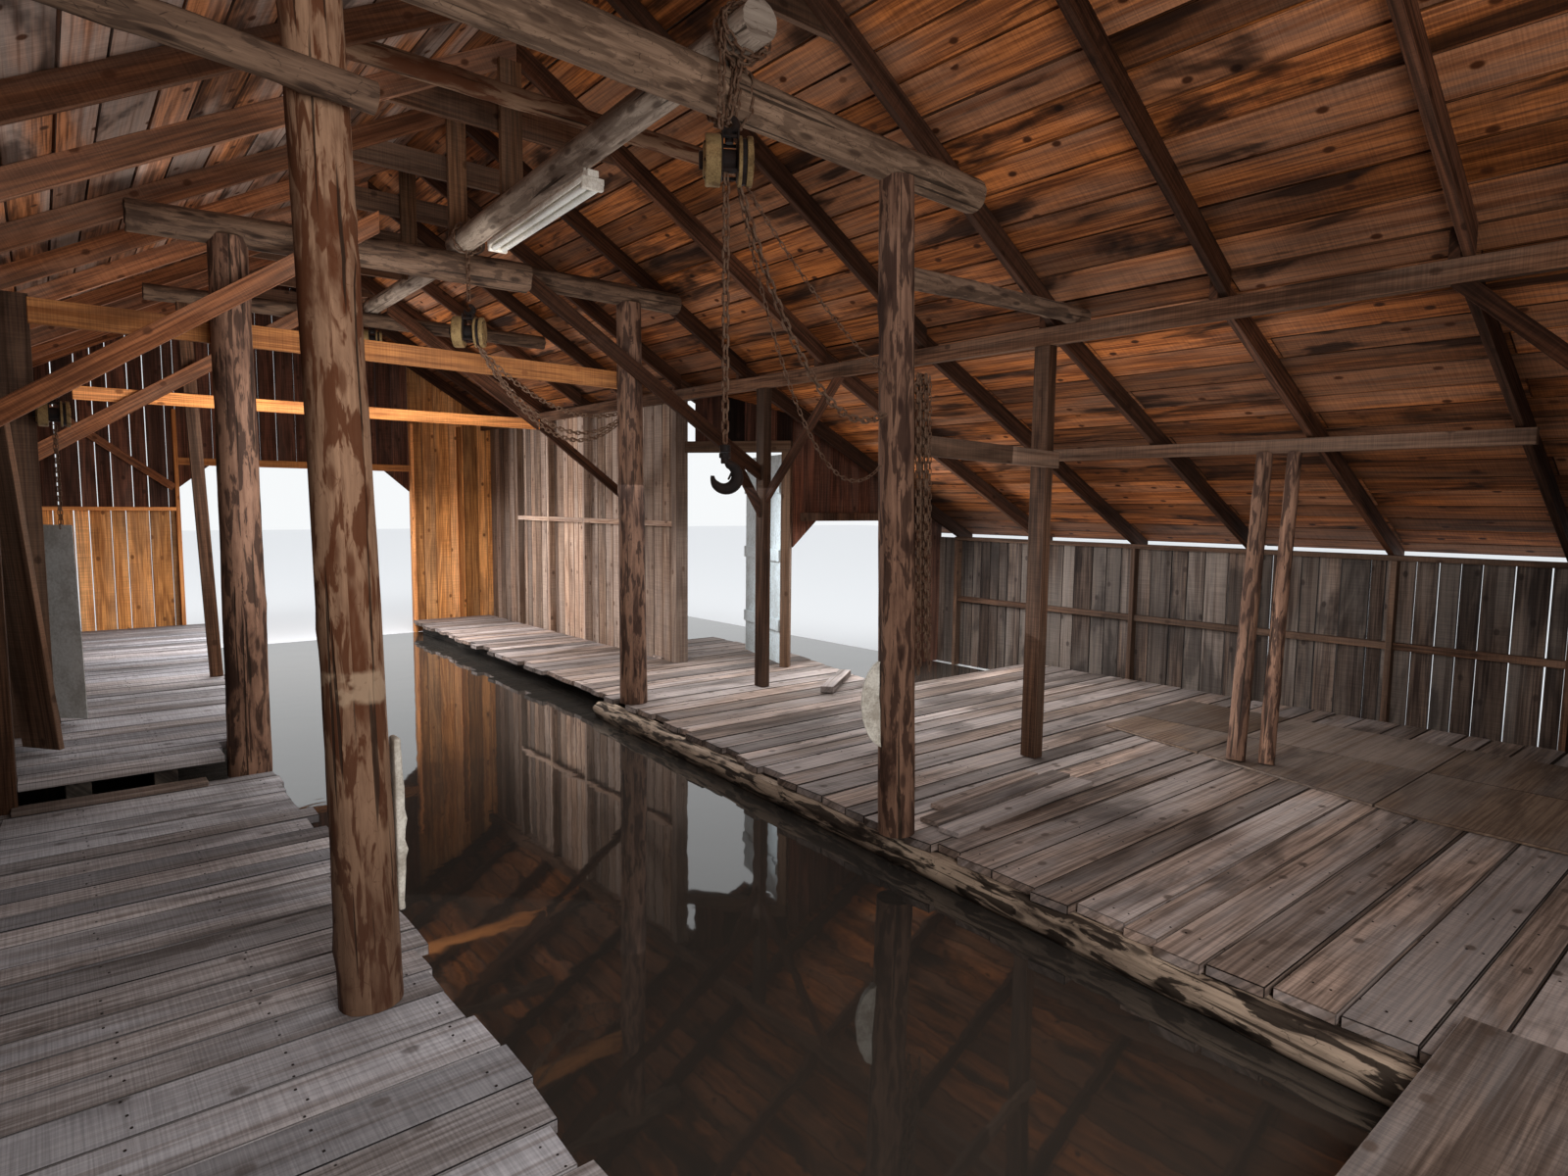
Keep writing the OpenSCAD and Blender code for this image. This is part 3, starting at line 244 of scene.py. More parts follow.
class Surface(Graph):
    """A new material and its node tree."""

    def __init__(self, name):
        self.paint = bpy.data.materials.new(name)
        self.paint.use_nodes = True
        super().__init__(self.paint.node_tree)
        self.shader = self.tree.nodes["Principled BSDF"].inputs

    def wear(self, body, bump, depth, **inputs):
        """Puts a shared group on the shader, and returns the group's colour."""
        made = self.add("ShaderNodeGroup", {"node_tree": body}, **inputs).outputs
        self.join(self.shader["Roughness"], made["Roughness"])
        self.join(self.shader["Normal"], self.relief(made["Height"], bump, depth))
        return made["Color"]

    def done(self, colour, **settings):
        self.join(self.shader["Base Color"], colour)
        for key, value in settings.items():
            self.shader[key.replace("_", " ")].default_value = value
        return self.paint


def sawn(name, light, dark, stain, grey, knots, saw, stains, weather, bump=0.5):
    """Sawn wood, in four colours, with shares of knots, saw marks, stains and weathering."""
    s = Surface(name)
    colour = s.wear(SAWN, bump, 0.002, Along=s.grain(), Place=s.place(), Tone=s.tone(), Light=rgb(light),
                    Dark=rgb(dark), Stain=rgb(stain), Grey=rgb(grey), Knots=knots, Saw=saw, Stains=stains,
                    Weather=weather)
    return s.done(colour, Specular_IOR_Level=0.25)


def log(name, light, dark, bark, patches, worms, bump=0.6, rub=None):
    """A peeled log. rub gives two heights between which it is rubbed pale, and then it is also painted darker
    towards the bottom.
    """
    s = Surface(name)
    colour = s.wear(LOG, bump, 0.003, Along=s.grain(), Tone=s.tone(), Light=rgb(light), Dark=rgb(dark),
                    Bark=rgb(bark), Patches=patches, Worms=worms)
    if rub:
        low, high = rub
        place, fade = s.place(), 0.02
        height = s.add("ShaderNodeSeparateXYZ", Vector=place).outputs[2]
        height = s.plus(height, s.times(s.clouds(place, 14.0), 0.05))
        rubbed = s.times(s.between(height, low, low + fade), s.between(height, high + fade, high))
        rubbed = s.times(rubbed, s.between(s.clouds(place, 7.0, 4), 0.47, 0.54))
        # Painted darker towards the bottom: it starts below 1.7 m and is darkest from 0.4 m down.
        colour = s.mix(s.between(height, 1.7, 0.4, 0.0, 0.55), colour, rgb("3A2A22"))
        colour = s.mix(s.times(rubbed, 0.7), colour, rgb("A88E74"))
    return s.done(colour, Specular_IOR_Level=0.3)


def coated(name, clean, dirt, amount, size, smooth, rough, metal=0.0, bump=0.2, depth=0.001):
    """Metal, paint or plastic with an amount of dirt, in specks of a size."""
    s = Surface(name)
    colour = s.wear(GRIME, bump, depth, Place=s.place(), Clean=rgb(clean), Dirt=rgb(dirt), Amount=amount,
                    Size=size, Smooth=smooth, Rough=rough)
    return s.done(colour, Metallic=metal)


def roof_felt():
    """Mineral felt: each strip its own shade, with water streaks down the slope and specks of lichen."""
    s = Surface("roof felt")
    colour = s.wear(GRIME, 0.6, 0.001, Place=s.place(), Clean=rgb("6C6055"), Dirt=rgb("483F38"), Amount=0.5,
                    Size=1.1, Smooth=0.8, Rough=0.15)
    streaks = s.clouds(s.grain(), (5, 0.4, 1), 4, 0.6)
    colour = s.mix(s.between(streaks, 0.46, 0.72, 0.0, 0.55), colour, rgb("3A322D"))
    lichen = s.clouds(s.place(), 8.0, 5, 0.7)
    colour = s.mix(s.between(lichen, 0.6, 0.68, 0.0, 0.5), colour, rgb("807C6A"))
    return s.done(s.lit(colour, s.between(s.tone(), 0.0, 1.0, 0.82, 1.14)))


def still_water():
    """Dark, nearly smooth water."""
    s = Surface("still water")
    ripple = s.clouds(s.scaled(s.place(), (1, 1, 0)), 2.2, 3, 0.5, 0.3)
    s.join(s.shader["Normal"], s.relief(ripple, 0.06, 0.02))
    deep = s.mix(s.clouds(s.place(), 0.7), rgb("22201E"), rgb("322C26"))
    return s.done(deep, Roughness=0.03, IOR=1.6, Specular_IOR_Level=0.8)


ROOF = sawn("roof boards", "A66232", "5A3018", "1A110D", "705848", 1.0, 0.9, 0.9, 0.55)
# The left roof boards are greyer than the right ones: partly grey weathering, partly a painted sheen of cool
# light grazing the boards.
ROOF_GREY_SHEEN = sawn("left roof boards, weathered grey and painted sheen", "AC6E46", "603A24", "261B17", "A49286", 1.0, 0.8, 0.8, 0.8)
DECK = sawn("left deck boards", "9E9693", "6B615C", "342E2C", "9C9B9E", 0.6, 0.35, 0.5, 0.6, 0.8)
DECK_BROWN = sawn("right deck boards", "947E70", "5C4C42", "2A221D", "968F8C", 0.7, 0.35, 0.6, 0.5, 0.8)
# The rafters and the left rafters are one wood in two shades: the rafters' paint is darker, painted shade,
# and the left rafters' paint is brighter, painted light.
RAFTER_SHADED = sawn("rafters", "563524", "2A1A12", "140E0B", "544035", 0.6, 0.6, 0.4, 0.3)
RAFTER_LIT = sawn("left rafters painted lit", "965E3C", "5C3622", "281C16", "968070", 0.7, 0.6, 0.45, 0.3)
DARK_TIMBER = sawn("old timbers", "5E412F", "342218", "18110D", "655346", 0.5, 0.5, 0.5, 0.45)
TIMBER = sawn("brown timbers", "7E583D", "4B3220", "211812", "776658", 0.6, 0.6, 0.4, 0.4)
ORANGE = sawn("newer timbers", "E09454", "9E5F33", "543724", "B49678", 0.8, 0.6, 0.3, 0.15)
ORANGE_WALL = sawn("newer wall boards", "E39C5A", "996035", "493221", "BB9E7B", 0.9, 0.6, 0.4, 0.3)
PALE_WALL = sawn("slip wall boards", "A0846E", "6F5342", "382A23", "867C74", 0.8, 0.6, 0.4, 0.45)
DARK_WALL = sawn("dark wall boards", "744836", "40271D", "1B1513", "5F5149", 0.6, 0.6, 0.5, 0.3)
GREY_WALL = sawn("grey wall boards", "625044", "342822", "161211", "746A62", 0.6, 0.5, 0.65, 0.6)
PLYWOOD = sawn("plywood", "7E6856", "604C3E", "332A26", "7C736D", 0.15, 0.1, 0.5, 0.5)
WET_TIMBER = sawn("wet timbers", "5C4F44", "312924", "12100F", "605C55", 0.4, 0.3, 0.7, 0.4)
POST_LOG = log("peeled post", "9C7A60", "684C3A", "54301E", 0.9, 0.5, 0.9, rub=(1.28, 1.39))
DARK_LOG = log("brown post", "886753", "50392E", "2E201B", 0.8, 0.4, 0.9)
GREY_LOG = log("grey log", "967A64", "564234", "362820", 0.5, 0.8, 0.8)
# The hoist log paint is the grey log about twice as light: painted light on the hoist logs.
LIT_HOIST_LOG = log("hoist log", "BEAC9A", "827062", "4C3C32", 0.45, 0.8, 0.8)
BROWN_LOG = log("cross log", "755D4B", "443329", "251C18", 0.55, 0.7)
WET_LOG = log("wet log", "9E8A76", "504238", "181310", 0.9, 0.6, 1.0)
FELT = roof_felt()
STEEL = coated("dull steel", "78746E", "5C3A26", 0.7, 12.0, 0.35, 0.4, 0.8)
CHAIN = coated("rusty chain", "7E6654", "543220", 0.75, 30.0, 0.4, 0.4, 0.5, 0.4)
IRON = coated("black iron", "262424", "3C2C24", 0.5, 14.0, 0.35, 0.35, 0.5)
TAN_PAINT = coated("hoist covers", "B29668", "543C26", 0.7, 12.0, 0.3, 0.35, 0.6)
WHITE_PAINT = coated("fixture enamel", "F5EFE2", "A38E76", 0.5, 9.0, 0.3, 0.3)
DOOR_PAINT = coated("door paint", "E9F5F8", "9E9F98", 0.45, 3.0, 0.35, 0.3, 0.0, 0.15)
VINYL = coated("bumper vinyl", "DAD4C6", "786856", 0.6, 7.0, 0.4, 0.35)
SHEET = coated("white sheeting", "CECECA", "827A6E", 0.5, 4.0, 0.35, 0.3)
TUBES = coated("frosted tubes", "ECEAE2", "AAA08C", 0.3, 6.0, 0.25, 0.2, 0.0, 0.05, 0.0005)


# Mesh helpers
def cad_mesh(name):
    """A merged copy of a CAD node's mesh, with its flat faces whole again."""
    bm = bmesh.new()
    bm.from_mesh(nodes[name].data)
    bmesh.ops.remove_doubles(bm, verts=bm.verts, dist=0.00005)
    bmesh.ops.dissolve_limit(bm, angle_limit=0.002, verts=bm.verts, edges=bm.edges)
    return bm


def islands(bm):
    """The separate solids of a mesh, each as a list of faces."""
    seen, found = set(), []
    for face in bm.faces:
        if face in seen:
            continue
        stack, part = [face], []
        seen.add(face)
        while stack:
            here = stack.pop()
            part.append(here)
            for edge in here.edges:
                for other in edge.link_faces:
                    if other not in seen:
                        seen.add(other)
                        stack.append(other)
        found.append(part)
    return found


def part_mesh(faces):
    """A new mesh that holds just these faces."""
    bm, made = bmesh.new(), {}
    for face in faces:
        for vert in face.verts:
            if vert not in made:
                made[vert] = bm.verts.new(vert.co)
        bm.faces.new([made[vert] for vert in face.verts])
    bmesh.ops.recalc_face_normals(bm, faces=bm.faces)
    return bm


def middle(bm):
    """The centre of a mesh's box."""
    spans = [[vert.co[axis] for vert in bm.verts] for axis in range(3)]
    return (Vector([min(span) for span in spans]) + Vector([max(span) for span in spans])) / 2


def solids(name):
    """The solids of a CAD node, each in a mesh of its own, always in the same order."""
    whole = cad_mesh(name)
    parts = [part_mesh(faces) for faces in islands(whole)]
    whole.free()
    return sorted(parts, key=lambda bm: [round(part, 3) for part in middle(bm)])


def long_axis(bm):
    """The direction of a piece's longest straight edges."""
    best = {}
    for edge in bm.edges:
        run = edge.verts[1].co - edge.verts[0].co
        if run.length > 0.02:
            key = tuple(round(abs(part), 1) for part in run.normalized())
            total, ray = best.get(key, (0, run))
            best[key] = (total + run.length ** 2, ray if ray.length > run.length else run)
    return max(best.values(), key=lambda pair: pair[0])[1].normalized() if best else Vector((1, 0, 0))


def grain(bm, axis, rng, tone=None, square=None):
    """Lays a board's own UV map in metres along its grain, and its tone. The bevelled arrises get a darker
    tone, painted shade in the joints between boards.
    """
    uv = bm.loops.layers.uv.get("grain") or bm.loops.layers.uv.new("grain")
    shade = bm.faces.layers.float.get("tone") or bm.faces.layers.float.new("tone")
    shift = Vector((rng.random() * 40, rng.random() * 40))
    value = rng.random() if tone is None else tone
    side = axis.orthogonal().normalized()
    other = axis.cross(side)
    for face in bm.faces:
        # When a board's frame is given, the bevel faces of its arrises get a tone 0.85 lower: painted shade
        # in the joints between boards.
        worn = square and max(abs(face.normal.dot(way)) for way in square) < 0.95
        face[shade] = value - 0.85 if worn else value
        flat = abs(face.normal.dot(axis)) > 0.8
        across = side if flat else axis.cross(face.normal).normalized()
        for loop in face.loops:
            place = loop.vert.co
            if flat:
                loop[uv].uv = (place.dot(other) * 0.3 + shift.x, place.dot(side) + shift.y)
            else:
                loop[uv].uv = (place.dot(axis) + shift.x, place.dot(across) + shift.y)


def ease(bm, size, segments=1, angle=0.6):
    """Rounds over the arrises of a board."""
    sharp = [e for e in bm.edges if len(e.link_faces) == 2 and e.calc_face_angle(0) > angle]
    if sharp and size:
        bmesh.ops.bevel(bm, geom=sharp, offset=size, segments=segments, affect="EDGES", profile=0.5,
                        material=-1, clamp_overlap=True)


def mesh_of(name, bm):
    """The mesh of a finished bmesh."""
    mesh = bpy.data.meshes.new(name)
    bm.to_mesh(mesh)
    bm.free()
    return mesh


def pour(target, bm):
    """Moves a finished board into the piece it belongs to."""
    mesh = mesh_of("part", bm)
    target.from_mesh(mesh)
    bpy.data.meshes.remove(mesh)


def fresh():
    """An empty mesh that can carry grain and tone."""
    bm = bmesh.new()
    bm.loops.layers.uv.new("grain")
    bm.faces.layers.float.new("tone")
    return bm


def piece(name, bm, paint, stands_for=(), body=HOUSE, smooth=False):
    """A finished piece of the scene, which may stand for CAD nodes."""
    mesh = mesh_of(name, bm)
    for each in paint if isinstance(paint, list) else [paint]:
        mesh.materials.append(each)
    mesh.polygons.foreach_set("use_smooth", [smooth] * len(mesh.polygons))
    obj = bpy.data.objects.new(name, mesh)
    scene.collection.objects.link(obj)
    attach(obj, body)
    if stands_for:
        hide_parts(*stands_for)
    return obj


def cut(bm, point, normal):
    """Keeps what lies behind a plane, and closes the cut."""
    bmesh.ops.bisect_plane(bm, geom=bm.verts[:] + bm.edges[:] + bm.faces[:], dist=0.00001,
                           plane_co=point, plane_no=normal, clear_outer=True)
    rim = [e for e in bm.edges if e.is_boundary]
    if rim:
        bmesh.ops.holes_fill(bm, edges=rim, sides=0)


def slice_of(bm, axis, low, high):
    """A copy of the part of a slab between two places along an axis."""
    board = bm.copy()
    cut(board, axis * high, axis)
    if board.faces:
        cut(board, axis * low, -axis)
    return board


def strips(rng, low, high, smallest, widest):
    """The two edges of each board, for boards of uneven width side by side."""
    places = [low]
    while places[-1] < high - 0.01:
        step = rng.uniform(smallest, widest)
        if high - places[-1] - step < smallest * 0.6:
            step = high - places[-1]
        places.append(min(high, places[-1] + step))
    return zip(places, places[1:])


def range_along(bm, axis):
    reach = [vert.co.dot(axis) for vert in bm.verts]
    return min(reach), max(reach)


def move(bm, by, verts=None):
    bmesh.ops.translate(bm, verts=verts or bm.verts, vec=by)


def put(bm, at, turn):
    """Turns a mesh about its own origin and moves it to its place."""
    bmesh.ops.transform(bm, matrix=Matrix.Translation(at) @ turn.to_4x4(), verts=bm.verts)


def cube(size):
    bm = bmesh.new()
    bmesh.ops.create_cube(bm, size=1)
    bmesh.ops.scale(bm, verts=bm.verts, vec=size)
    return bm


JOINT_GAP, LEAST_RUN, LEAST_END = 0.003, 1.8, 1


def courses(rng, joints, start, end):
    """The ends of the boards in one course, joined on some of the given places."""
    ends, offset = [start], rng.random() * 3
    while True:
        nearby = [p for p in joints
                  if start + LEAST_END < p < end - LEAST_END and p > ends[-1] + LEAST_RUN + offset]
        if not nearby:
            return ends + [end]
        ends.append(nearby[0])
        offset = 0.9 * rng.random()


def boards(bm, target, rng, across, along, smallest, widest, gap, ragged=0.0, sink=0.0, joints=None,
           round_over=0.003):
    """Saws a slab into boards laid side by side, and pours them into the target."""
    face = across.cross(along)
    if face.z < 0:
        face = -face
    for low, high in strips(rng, *range_along(bm, across), smallest, widest):
        half = rng.uniform(*gap) / 2
        board = slice_of(bm, across, low + half, high - half)
        if not board.faces:
            board.free()
            continue
        start, end = range_along(board, along)
        ends = courses(rng, joints, start, end) if joints else [start, end]
        for first, last in zip(ends, ends[1:]):
            length = board
            if len(ends) > 2:
                length = slice_of(board, along, first + JOINT_GAP / 2, last - JOINT_GAP / 2)
            if ragged and length.faces:
                for place, way in ((last, 1), (first, -1)):
                    lean = along * way + across * rng.uniform(-0.06, 0.06)
                    centre = middle(length)
                    spot = centre + along * (place - centre.dot(along))
                    cut(length, spot - along * way * rng.uniform(0, ragged), lean.normalized())
            if length.faces:
                if sink:
                    move(length, -face * rng.uniform(0, sink))
                for faces in islands(length):
                    loose = part_mesh(faces)
                    ease(loose, round_over)
                    grain(loose, along, rng, None, (across, along, face))
                    pour(target, loose)
            if length is not board:
                length.free()
        board.free()
    return target


def chosen(pick, bm):
    """The paint of a solid, by its number. pick tells it from the solid's place in the plan."""
    at = middle(bm) - plan(0, 0, 0)
    return int(pick(at.x, at.y)) if pick else 0


def tint(bm, before, which):
    """Gives a number of paint to the faces made last."""
    bm.faces.ensure_lookup_table()
    for face in bm.faces[before:]:
        face.material_index = which


def dressed(name, node, paint, axis=None, pick=None):
    """Sawn timbers as the CAD node places them, with eased arrises and their own grain."""
    rng = random.Random(name)
    whole = fresh()
    for bar in solids(node):
        way = axis or long_axis(bar)
        which = chosen(pick, bar)
        ease(bar, 0.004, 2)
        grain(bar, way, rng)
        tint(bar, 0, which)
        pour(whole, bar)
    return piece(name, whole, paint, (node,))


rafter_places = sorted({round(middle(bm).y, 3) for bm in solids("rafters_left")})


# Roof
BOARDS_TOP, FELT_UNDER, FELT_LAP = 0.024, 0.0235, 0.007  # down from the top of the slab


def roof(node, name, paint):
    """Lengthwise roof boards in courses down the slope, with the roll felt on top."""
    slab = cad_mesh(node)
    top = max((f for f in slab.faces if f.normal.z > 0.5), key=lambda f: f.calc_area())
    normal = top.normal.copy()
    down = Y.cross(normal).normalized()
    point = top.verts[0].co.copy()
    under = slab.copy()
    cut(under, point - normal * BOARDS_TOP, normal)
    rng = random.Random(name)
    made = boards(under, fresh(), rng, down, Y, 0.19, 0.27, (0.006, 0.014), 0.0, 0.004, rafter_places)
    piece(name, made, paint, (node,))
    over = slab.copy()
    cut(over, point - normal * FELT_UNDER, -normal)
    felt = fresh()
    for low, high in strips(rng, *range_along(over, down), 0.86, 0.94):
        strip = slice_of(over, down, low + 0.0005, high - 0.0005)
        if not strip.faces:
            strip.free()
            continue
        lap = [v for v in strip.verts
               if abs(v.co.dot(down) - high) < 0.01 and (v.co - point).dot(normal) > -0.01]
        bmesh.ops.translate(strip, verts=lap, vec=-normal * FELT_LAP)
        ease(strip, 0.003)
        grain(strip, Y, rng)
        pour(felt, strip)
    piece(name + "_felt", felt, FELT)
    for bm in (slab, under, over):
        bm.free()


roof("roof_left", "roof_boards_left", ROOF_GREY_SHEEN)
roof("roof_right", "roof_boards_right", ROOF)
roof("roof_wing", "roof_boards_wing", ROOF)
dressed("rafters_left_sawn", "rafters_left", RAFTER_LIT)
dressed("rafters_right_sawn", "rafters_right", RAFTER_SHADED)
dressed("rafters_wing_sawn", "rafters_wing", RAFTER_SHADED)
dressed("collar_ties_sawn", "collar_ties", DARK_TIMBER)
dressed("purlins_sawn", "purlins", DARK_TIMBER)
dressed("tie_boards_sawn", "tie_boards", [ORANGE, DARK_TIMBER],
        pick=lambda x, y: y < 6)
dressed("king_struts", "king_posts", TIMBER)
# Braces on the left take the rafter paint that is painted lit, the others the rafter paint that is painted
# shaded.
dressed("braces_sawn", "braces", [RAFTER_SHADED, RAFTER_LIT], pick=lambda x, y: x < 2.4)


# Decks
def deck(node, name, paint, narrow=0.15, wide=0.23, lip=0, gap=(0.006, 0.018), worn=0.004):
    """Crosswise deck boards with uneven gaps. At the slip they end unevenly, some past the edge log."""
    made, rng = fresh(), random.Random(name)
    for slab in solids(node):
        laid = fresh()
        boards(slab, laid, rng, Y, X, narrow, wide, gap, 0.03, 0.006, None, worn)
        slab.free()
        for loose in islands(laid):
            corners = {vert for face in loose for vert in face.verts}
            if lip and max(v.co.z for v in corners) < 0.25:
                edge, shift = max(v.co.x * lip for v in corners), rng.uniform(-0.01, 0.075)
                for vert in corners:
                    if vert.co.x * lip > edge - 0.06:
                        vert.co.x += shift * lip
        pour(made, laid)
    piece(name, made, paint, (node,))


deck("deck_left", "deck_boards_left", DECK, 0.16, 0.23, 1, (0.004, 0.012), 0.003)
deck("deck_right", "deck_boards_right", DECK_BROWN, 0.16, 0.26, -1)
deck("deck_shore", "deck_boards_shore", DECK_BROWN)


# Walls
def wall(node, name, paint, side, narrow=0.13, wide=0.24, gap=(0.003, 0.008), split=None):
    """Upright wall boards, side by side along an axis. Above split they are in the second paint."""
    made, rng = fresh(), random.Random(name)
    for slab in solids(node):
        parts = [slab]
        if split:
            parts = [slice_of(slab, Z, -1, split - 0.001), slice_of(slab, Z, split + 0.001, FAR)]
        for index, part in enumerate(parts):
            before = len(made.faces)
            if part.faces:
                boards(part, made, rng, side, Z, narrow, wide, gap, round_over=0.002)
            tint(made, before, index)
            part.free()
    return piece(name, made, paint, (node,))


wall("wall_left", "left_wall_boards", GREY_WALL, Y)
wall("wall_right", "right_wall_boards", GREY_WALL, Y, 0.11, 0.22, (0.004, 0.014))
wall("wall_shore", "shore_wall_boards", GREY_WALL, X)
wall("wall_slip_side", "slip_wall_boards", PALE_WALL, Y, 0.13, 0.2, (0.006, 0.018))
wall("wall_lake_left", "lake_wall_boards_left", [ORANGE_WALL, DARK_WALL], X, 0.14, 0.24, (0.004, 0.012), 1.80)
wall("wall_lake_right", "lake_wall_boards_right", ORANGE_WALL, X)
wall("wall_lake_over", "lake_wall_boards_over", DARK_WALL, X)
wall("wall_wing_end", "wing_end_boards", DARK_WALL, X)
wall("wall_over_door", "boards_over_door", DARK_WALL, X)
dressed("wall_studs", "studs_sides", DARK_TIMBER)
dressed("slip_wall_studs", "studs_slip_side", PALE_WALL)
dressed("end_wall_studs", "studs_ends", [ORANGE, DARK_TIMBER],
        pick=lambda x, y: x > 5.4)
dressed("door_frame_sawn", "door_frame", TIMBER)
dressed("square_posts_sawn", "square_posts", DARK_TIMBER)
sheets, rng = fresh(), random.Random("plywood")
SHEET_END, NEXT_SHEET = plan(7.42, 0, 0).x, plan(7.425, 0, 0).x
for slab in solids("plywood_floor"):
    for low, high in ((-FAR, SHEET_END), (NEXT_SHEET, FAR)):
        half = slice_of(slab, X, low, high)
        boards(half, sheets, rng, Y, X, 1.19, 1.23, (0.006, 0.014), 0.0, 0.003, None, 0.002)
        half.free()
    slab.free()
piece("plywood_sheets", sheets, PLYWOOD, ("plywood_floor",))
dressed("gangplank_boards", "gangplank", DECK_BROWN, X)
dressed("crib_sleepers", "crib_logs", WET_TIMBER)


# Logs
RIM, RING_STEP, LEAST_Z = 0.045, 0.07, 0.002


def log_ends(bm):
    """The middles and then the radii of both ends of a CAD log."""
    way = long_axis(bm)
    if way.z < -0.5 or (abs(way.z) <= 0.5 and way.x + way.y < 0):
        way = -way
    found = []
    for place in range_along(bm, way):
        near = [v.co for v in bm.verts if abs(v.co.dot(way) - place) < RIM]
        found.append((sum(near, Vector()) / len(near), near))
    way = (found[1][0] - found[0][0]).normalized()
    radii = [max((p - centre - way * (p - centre).dot(way)).length for p in near) for centre, near in found]
    return found[0][0], found[1][0], *radii


def natural_log(target, a, b, ra, rb, rng, rough=1.0, knots=1.0, bend=0.008, worn_ends=0.0, segments=28,
                top=FAR):
    """A peeled trunk: a cone cut into rings, pushed in and out by noise, with knots and a slight bend."""
    length, way = (b - a).length, (b - a).normalized()
    bm = fresh()
    bmesh.ops.create_cone(bm, cap_ends=True, segments=segments, radius1=1, radius2=1, depth=1)
    tall = [e for e in bm.edges if abs(e.verts[0].co.z - e.verts[1].co.z) > 0.5]
    bmesh.ops.subdivide_edges(bm, edges=tall, cuts=max(6, int(length / RING_STEP)), use_grid_fill=True)
    caps = [f for f in bm.faces if abs(f.normal.z) > 0.9]
    for inset in (0.12, 0.4):
        bmesh.ops.inset_region(bm, faces=caps, thickness=inset)
    uv, shade = bm.loops.layers.uv["grain"], bm.faces.layers.float["tone"]
    away = (a + b) / 2 - eye
    away = (away - way * away.dot(way)).normalized()
    if abs(way.z) < 0.5:
        away = (Z - way * way.z).normalized()
    side = way.cross(away)
    lumps = [(rng.uniform(0.06, 0.94) * length, rng.uniform(-math.pi, math.pi),
              rng.uniform(0.004, 0.012) * knots, rng.uniform(0.025, 0.055))
             for _ in range(int(length * 4 * knots) + 1)]
    phase = rng.random() * 50
    bow_way = way.orthogonal().normalized()
    tone = rng.random()
    for vert in bm.verts:
        co = vert.co.copy()
        t = min(1.0, max(0.0, co.z + 0.5))
        reach, turn = math.hypot(co.x, co.y), math.atan2(co.y, co.x)
        out = away * math.cos(turn) + side * math.sin(turn) if reach > 1e-6 else Vector()
        sample = Vector((math.cos(turn) * 1.3, math.sin(turn) * 1.3, t * length * 1.6 + phase))
        swell = 0.035 * noise.noise(sample) + 0.02 * noise.noise(sample * 3.1)
        swell += 0.008 * noise.noise(sample * 9.0)
        radius = (ra + (rb - ra) * t) * (0.98 + rough * swell)
        for along, angle, high, wide in lumps:
            gap = t * length - along
            if abs(gap) < 3 * wide:
                around = (turn - angle + math.pi) % (2 * math.pi) - math.pi
                radius += high * math.exp(-(gap ** 2 + (around * radius) ** 2) / (wide * wide))
        slack = bow_way * bend * math.sin(math.pi * t)
        worn = 0.0
        if worn_ends and not 0.001 <= t <= 0.999:
            worn = abs(worn_ends * noise.noise(Vector((co.x * 2, co.y * 2, phase + t * 9))))
        place = t * length + (worn if t < 0.5 else -worn)
        vert.co = a + way * place + slack + out * radius * min(1.0, reach)
        vert.co.z = min(max(vert.co.z, LEAST_Z), top)
    spread = rng.random() * 30
    bm.normal_update()
    for face in bm.faces:
        centre = face.calc_center_median()
        flat = abs(face.normal.dot(way)) > 0.8
        face[shade] = tone - 0.9 if flat else tone
        rel = centre - a
        base = math.atan2(rel.dot(side), rel.dot(away))
        for loop in face.loops:
            rel = loop.vert.co - a
            if flat:
                loop[uv].uv = (rel.dot(side) * 0.6 + spread, rel.dot(away) + spread)
            else:
                turn = math.atan2(rel.dot(side), rel.dot(away))
                turn += 2 * math.pi * round((base - turn) / (2 * math.pi))
                loop[uv].uv = (rel.dot(way) + spread, turn * (ra + rb) / 2 + spread)
        face.smooth = not flat
    pour(target, bm)


def smooth_sides(obj):
    for polygon in obj.data.polygons:
        polygon.use_smooth = True
    sharp = obj.data.attributes.get("sharp_edge") or obj.data.attributes.new("sharp_edge", "BOOLEAN", "EDGE")
    bm = bmesh.new()
    bm.from_mesh(obj.data)
    for index, edge in enumerate(bm.edges):
        sharp.data[index].value = len(edge.link_faces) == 2 and edge.calc_face_angle(0) > 0.9
    bm.free()


def logs(name, node, paint, slot, pick=None, **shape):
    """Natural logs in place of the CAD node's plain ones. pick gives an index into the paints."""
    rng = random.Random(name)
    whole = fresh()
    for solid in solids(node):
        which = chosen(pick, solid)
        before = len(whole.faces)
        if len(solid.verts) <= 8:
            way = long_axis(solid)
            ease(solid, 0.012, 3)
            grain(solid, way, rng)
            pour(whole, solid)
        else:
            ends = log_ends(solid)
            solid.free()
            natural_log(whole, *ends, rng, **shape)
        tint(whole, before, which)
    smooth_sides(piece(name, whole, paint, (node,)))


